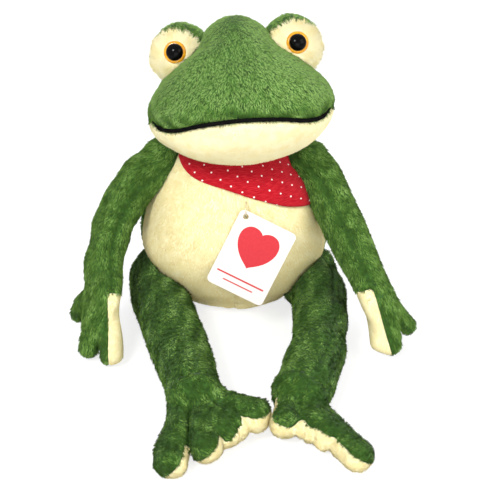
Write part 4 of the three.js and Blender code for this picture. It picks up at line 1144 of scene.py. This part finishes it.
# Mouth
def make_piping():
    across = np.linspace(-MOUTH_END, MOUTH_END, 121)
    height = mouth_height(across)
    front = np.full(len(across), -70.0)
    back = np.full(len(across), 5.0)
    for _ in range(40):
        middle = (front + back) / 2
        outside = head_distance(out_of_head(np.column_stack([across, middle, height]))) > 0
        front = np.where(outside, middle, front)
        back = np.where(outside, back, middle)
    path = out_of_head(np.column_stack([across, front, height]))
    outwards = unit(slope_of(head_distance, path))
    path = path + outwards * 0.1
    side = np.cross(unit(np.gradient(path, axis=0)), outwards)
    taper = np.clip((MOUTH_END + 1.5 - np.abs(across)) / 6, 0.35, 1)[:, None]
    sides, steps = 14, len(across)
    rings = [path + PIPING * taper * (math.cos(turn) * outwards + math.sin(turn) * side * 1.15)
             for turn in [k / sides * 2 * math.pi for k in range(sides)]]
    points = np.stack(rings, 1).reshape(-1, 3)
    faces = ring_faces(steps - 1, steps, sides)
    caps = [list(range(sides))[::-1], [(steps - 1) * sides + i for i in range(sides)]]
    piping = loose_object("mouth_line", points, faces + caps, [BLACK_CLOTH])
    normals = unit(points - np.repeat(path, sides, 0))
    nap = pile("mouth_line_pile", points, normals, np.array(faces), BLACK_PILE | {"lay": (0, 0, -1)}, 150)
    settle(piping, "head", "black_piping", "mouth_piping")
    settle(nap, "head", "black_piping")


# Neckerchief
def scarf_low(angle):
    hem = smooth_line(SCARF_EDGE[:SCARF_CORNER + 1], 200)
    rest = smooth_line(SCARF_EDGE[SCARF_CORNER:], 200)
    line = np.vstack([hem, rest[1:]])
    return np.interp(angle, line[:, 0], line[:, 1])


def on_body(angle, height, out):
    width, depth = body_sizes(height)
    turn = np.radians(angle)
    return np.stack([(width + out) * np.cos(turn), body_middle(height) + (depth + out) * np.sin(turn),
                     height], -1)


def make_scarf():
    columns, rows = 360, 26
    angles = np.linspace(-180, 180, columns, endpoint=False)
    angle, up = np.meshgrid(angles, np.linspace(0, 1, rows), indexing="ij")
    low = scarf_low(angle)
    height = low + up * (SCARF_TOP - low)
    swell = 2.2 * np.exp(-((angle + 42) / 18) ** 2) * np.sin((1 - up) ** 2 * math.pi)
    arch = np.sin(up * math.pi)
    fold = 0.5 * np.sin(np.radians(angle * 5 + 60 * up)) * np.exp(-((angle + 70) / 70) ** 2) * arch
    fold += 0.9 * np.exp(-((angle + 62 - 26 * up) / 6) ** 2) * arch
    lift = 0.9 * np.exp(-((angle + 36) / 9) ** 2) * (1 - up) ** 2
    out = SCARF_CLEAR + swell + np.maximum(fold, -0.3) + lift
    hem = np.where(up < 0.09, 0.5, 0) * (angle > -170) * (angle < 0)
    inner = on_body(angle, height, out)
    outer = on_body(angle, height, out + SCARF_THICK + hem)
    short = SHOULDER_RADIUS + 0.6
    for layer in (inner, outer):
        for side in ("right", "left"):
            off = layer - joint_at(side + "_shoulder")
            reach = np.linalg.norm(off, axis=-1, keepdims=True)
            layer += np.where(reach < short, off / np.maximum(reach, 1e-6) * (short - reach), 0)
    points = np.concatenate([outer.reshape(-1, 3), inner.reshape(-1, 3)])
    count = columns * rows

    def strip(c, first, second):
        """A quad between a column and the next, from two pairs of a row and a layer."""
        ends = [(c, first), (c + 1, first), (c + 1, second), (c, second)]
        return [column % columns * rows + row + layer * count for column, (row, layer) in ends]

    faces = []
    for c in range(columns):
        for r in range(rows - 1):
            faces += [strip(c, (r, 0), (r + 1, 0)), strip(c, (r + 1, 1), (r, 1))]
        faces += [strip(c, (0, 1), (0, 0)), strip(c, (rows - 1, 0), (rows - 1, 1))]
    cloth = loose_object("dotted_neckerchief", points, faces, [DOTTED_CLOTH])

    middle_row = 12
    spans = np.linalg.norm(np.diff(np.vstack([outer[:, middle_row], outer[:1, middle_row]]), axis=0), axis=1)
    along = np.concatenate([[0], np.cumsum(spans)])[:-1]
    steps = np.linalg.norm(np.diff(outer, axis=1), axis=2)
    across = np.cumsum(np.concatenate([np.zeros((columns, 1)), steps], 1), axis=1)
    below_top = (across - across[:, -1:]).reshape(-1)
    starts = np.repeat(np.array(faces)[:, 0], 4)

    def flat(corner):
        corner = corner % count
        wraps = (starts % count // rows == columns - 1) & (corner // rows == 0)
        return np.column_stack([along[corner // rows] + wraps * spans.sum(), below_top[corner]])

    lay_flat(cloth, flat)
    return settle(cloth, "torso", "red_cotton", "neckerchief")


def make_knot():
    out = SCARF_CLEAR + 1.7
    middle = np.array([0, back_at(KNOT["height"]) + out + KNOT["half"][1], KNOT["height"]])
    tails = []
    for side in (-1, 1):
        stations = []
        for share in (0, 0.33, 0.66, 1):
            level = KNOT["height"] - share * KNOT["tail"] * math.cos(KNOT["splay"])
            sideways = side * (3 + share * KNOT["tail"] * math.sin(KNOT["splay"]))
            stations.append(((sideways, back_at(level) + out + 3.7 + share, level),
                             KNOT["width"] * (0.28 + 0.22 * share), 1.2))
        tails.append(tube(stations, unit((0, 1, 0.3)), (1, 1.5), 14))

    def distance(points):
        off = points - middle
        form = ellipsoid(points, middle, KNOT["half"]) + 0.45 * np.sin(off[:, 0] * 1.3 + off[:, 2] * 0.9)
        form = form + groove(off[:, 0] + 0.5 * off[:, 2] - 2, SEAMS["knot"])
        for tail in tails:
            form = smooth_min(form, tail(points), 1.5)
        return form

    skin = skin_of(distance, ["neckerchief_knot"], 0.8)
    knot = mesh_object("neckerchief_tie", skin["points"], skin["quads"], [DOTTED_TIE])
    return settle(knot, "torso", "red_cotton", "neckerchief_knot")


# Tag, loop and label
def make_tag():
    left, top = -TAG["hole_in"], TAG["hole_down"]
    right, bottom, corner = left + TAG["width"], top - TAG["length"], TAG["corner"]
    outline = []
    for x, y, start in ((right - corner, top - corner, 0), (left + corner, top - corner, 90),
                        (left + corner, bottom + corner, 180), (right - corner, bottom + corner, 270)):
        turns = [math.radians(start + k * 90 / 8) for k in range(9)]
        outline += [(x + corner * math.cos(t), y + corner * math.sin(t)) for t in turns]
    hole = [(TAG["hole"] * math.cos(t), -TAG["hole"] * math.sin(t)) for t in np.arange(28) / 28 * 2 * math.pi]
    half = TAG["thick"] / 2
    points, faces, rims = [], [], []
    for ring in (outline, hole):
        path = np.array(ring)
        ahead = np.roll(path, -1, 0) - np.roll(path, 1, 0)
        inwards = unit(np.column_stack([-ahead[:, 1], ahead[:, 0]]))
        first, count = len(points), len(ring)
        for depth, inset in ((half, 0.12), (half - 0.1, 0), (-half + 0.1, 0), (-half, 0.12)):
            points += [(x, y, depth) for x, y in path + inwards * inset]
        faces += [[first + a, first + b, first + c, first + d] for a, d, c, b in ring_faces(3, 4, count)]
        rims.append((range(first, first + count), range(first + 3 * count, first + 4 * count)))
    for which, upwards in ((0, True), (1, False)):
        order = [*rims[0][which], *rims[1][which]]
        shape = [[Vector(points[i]) for i in rim[which]] for rim in rims]
        for triangle in tessellate_polygon(shape):
            ids = [order[i] for i in triangle]
            a, b, c = (np.array(points[i]) for i in ids)
            up = np.cross(b - a, c - a)[2] > 0
            faces.append(ids if up == upwards else ids[::-1])
    flat = np.array(points)
    placed = turned(turned(flat, 2, -TAG["turn"]), 0, math.pi / 2 - TAG["slope"]) + TAG["at"]
    card = loose_object("card_tag", placed, faces, [CARD], smooth=False)
    lay_flat(card, lambda corner: flat[corner, :2])
    settle(card, "tag", "tag_card", "hang_tag")


def make_loop():
    along = np.array([0, math.sin(LOOP["tilt"]), math.cos(LOOP["tilt"])]) * LOOP["length"]
    across = np.array([0, -math.cos(LOOP["tilt"]), math.sin(LOOP["tilt"])]) * LOOP["width"]
    middle = np.array(TAG["at"]) + along
    steps, sides = 64, 10
    points = []
    for turn in np.arange(steps) / steps * 2 * math.pi:
        centre = middle + along * math.cos(turn) + across * math.sin(turn)
        out = np.cross(unit(across * math.cos(turn) - along * math.sin(turn)), (1, 0, 0))
        points += [centre + LOOP["radius"] * (math.cos(a) * np.array([1, 0, 0]) + math.sin(a) * out)
                   for a in np.arange(sides) / sides * 2 * math.pi]
    ring = loose_object("nylon_loop", points, ring_faces(steps, steps, sides), [NYLON])
    settle(ring, "torso", "nylon", "tag_loop")


def make_label():
    rows, columns = 14, 10
    half = LABEL["length"] / 2
    level = np.linspace(LABEL["height"] - half, LABEL["height"] + half, rows)
    across = np.linspace(-LABEL["width"] / 2, LABEL["width"] / 2, columns)
    z, x = np.meshgrid(level, across, indexing="ij")
    outer = np.stack([x, back_at(z) + LABEL["out"], z], -1).reshape(-1, 3)
    first = (np.arange(rows - 1)[:, None] * columns + np.arange(columns - 1)).reshape(-1, 1)
    quads = first + [0, columns, columns + 1, 1]
    points, faces = shell(outer, np.tile([0.0, 1.0, 0.0], (len(outer), 1)), quads, LABEL["thick"])
    settle(mesh_object("blank_label", points, faces, [TAPE]), "torso", "label_tape", "care_label")


# Camera, floor and light
def make_stage():
    camera = bpy.data.cameras.new("camera")
    camera.angle = 2 * math.atan(CAMERA["half_view"])
    viewer = add_object("camera", camera)
    viewer.location = CAMERA["at"]
    viewer.rotation_euler = CAMERA["turn"]
    bpy.context.scene.camera = viewer

    finish = Finish("floor_white", 1, specular=0)
    seen = finish.seen_directly()
    bounce = finish.add("MapRange", Value=seen, To_Min=0.9, To_Max=0.36)
    finish.shader["Emission Color"].default_value = (1, 1, 1, 1)
    finish.put(finish.shader["Emission Strength"], finish.math("MULTIPLY", seen, 0.76))
    finish.put(finish.shader["Base Color"], bounce.outputs[0])
    far = FLOOR_HALF / MM
    corners = [(-far, -far, 0), (far, -far, 0), (far, far, 0), (-far, far, 0)]
    loose_object("floor", corners, [(0, 1, 2, 3)], [finish.owner], smooth=False)

    sky = Nodes(bpy.data.worlds.new("studio"))
    bpy.context.scene.world = sky.owner
    level = sky.add("MapRange", Value=sky.seen_directly(), To_Min=0.64, To_Max=1.0)
    backdrop = sky.tree.nodes["Background"].inputs
    backdrop["Color"].default_value = (1, 1, 1, 1)
    sky.put(backdrop["Strength"], level.outputs[0])

    for name, (place, power, size) in LAMPS.items():
        lamp = bpy.data.lights.new(name, "AREA")
        lamp.energy = power
        lamp.size = size
        holder = add_object(name, lamp)
        holder.location = place
        holder.rotation_euler = (Vector(LIT) - Vector(place)).to_track_quat("-Z", "Y").to_euler()
    bpy.context.scene.view_settings.view_transform = "Standard"


make_stage()
dress_inside()
make_body()
make_head()
make_piping()
for limb_side, limb_name in ((-1, "right"), (1, "left")):
    make_eye(limb_name, limb_side)
    make_arm(limb_name)
    make_leg(limb_name)
cloth = make_scarf()
tie = make_knot()
make_tag()
make_loop()
make_label()
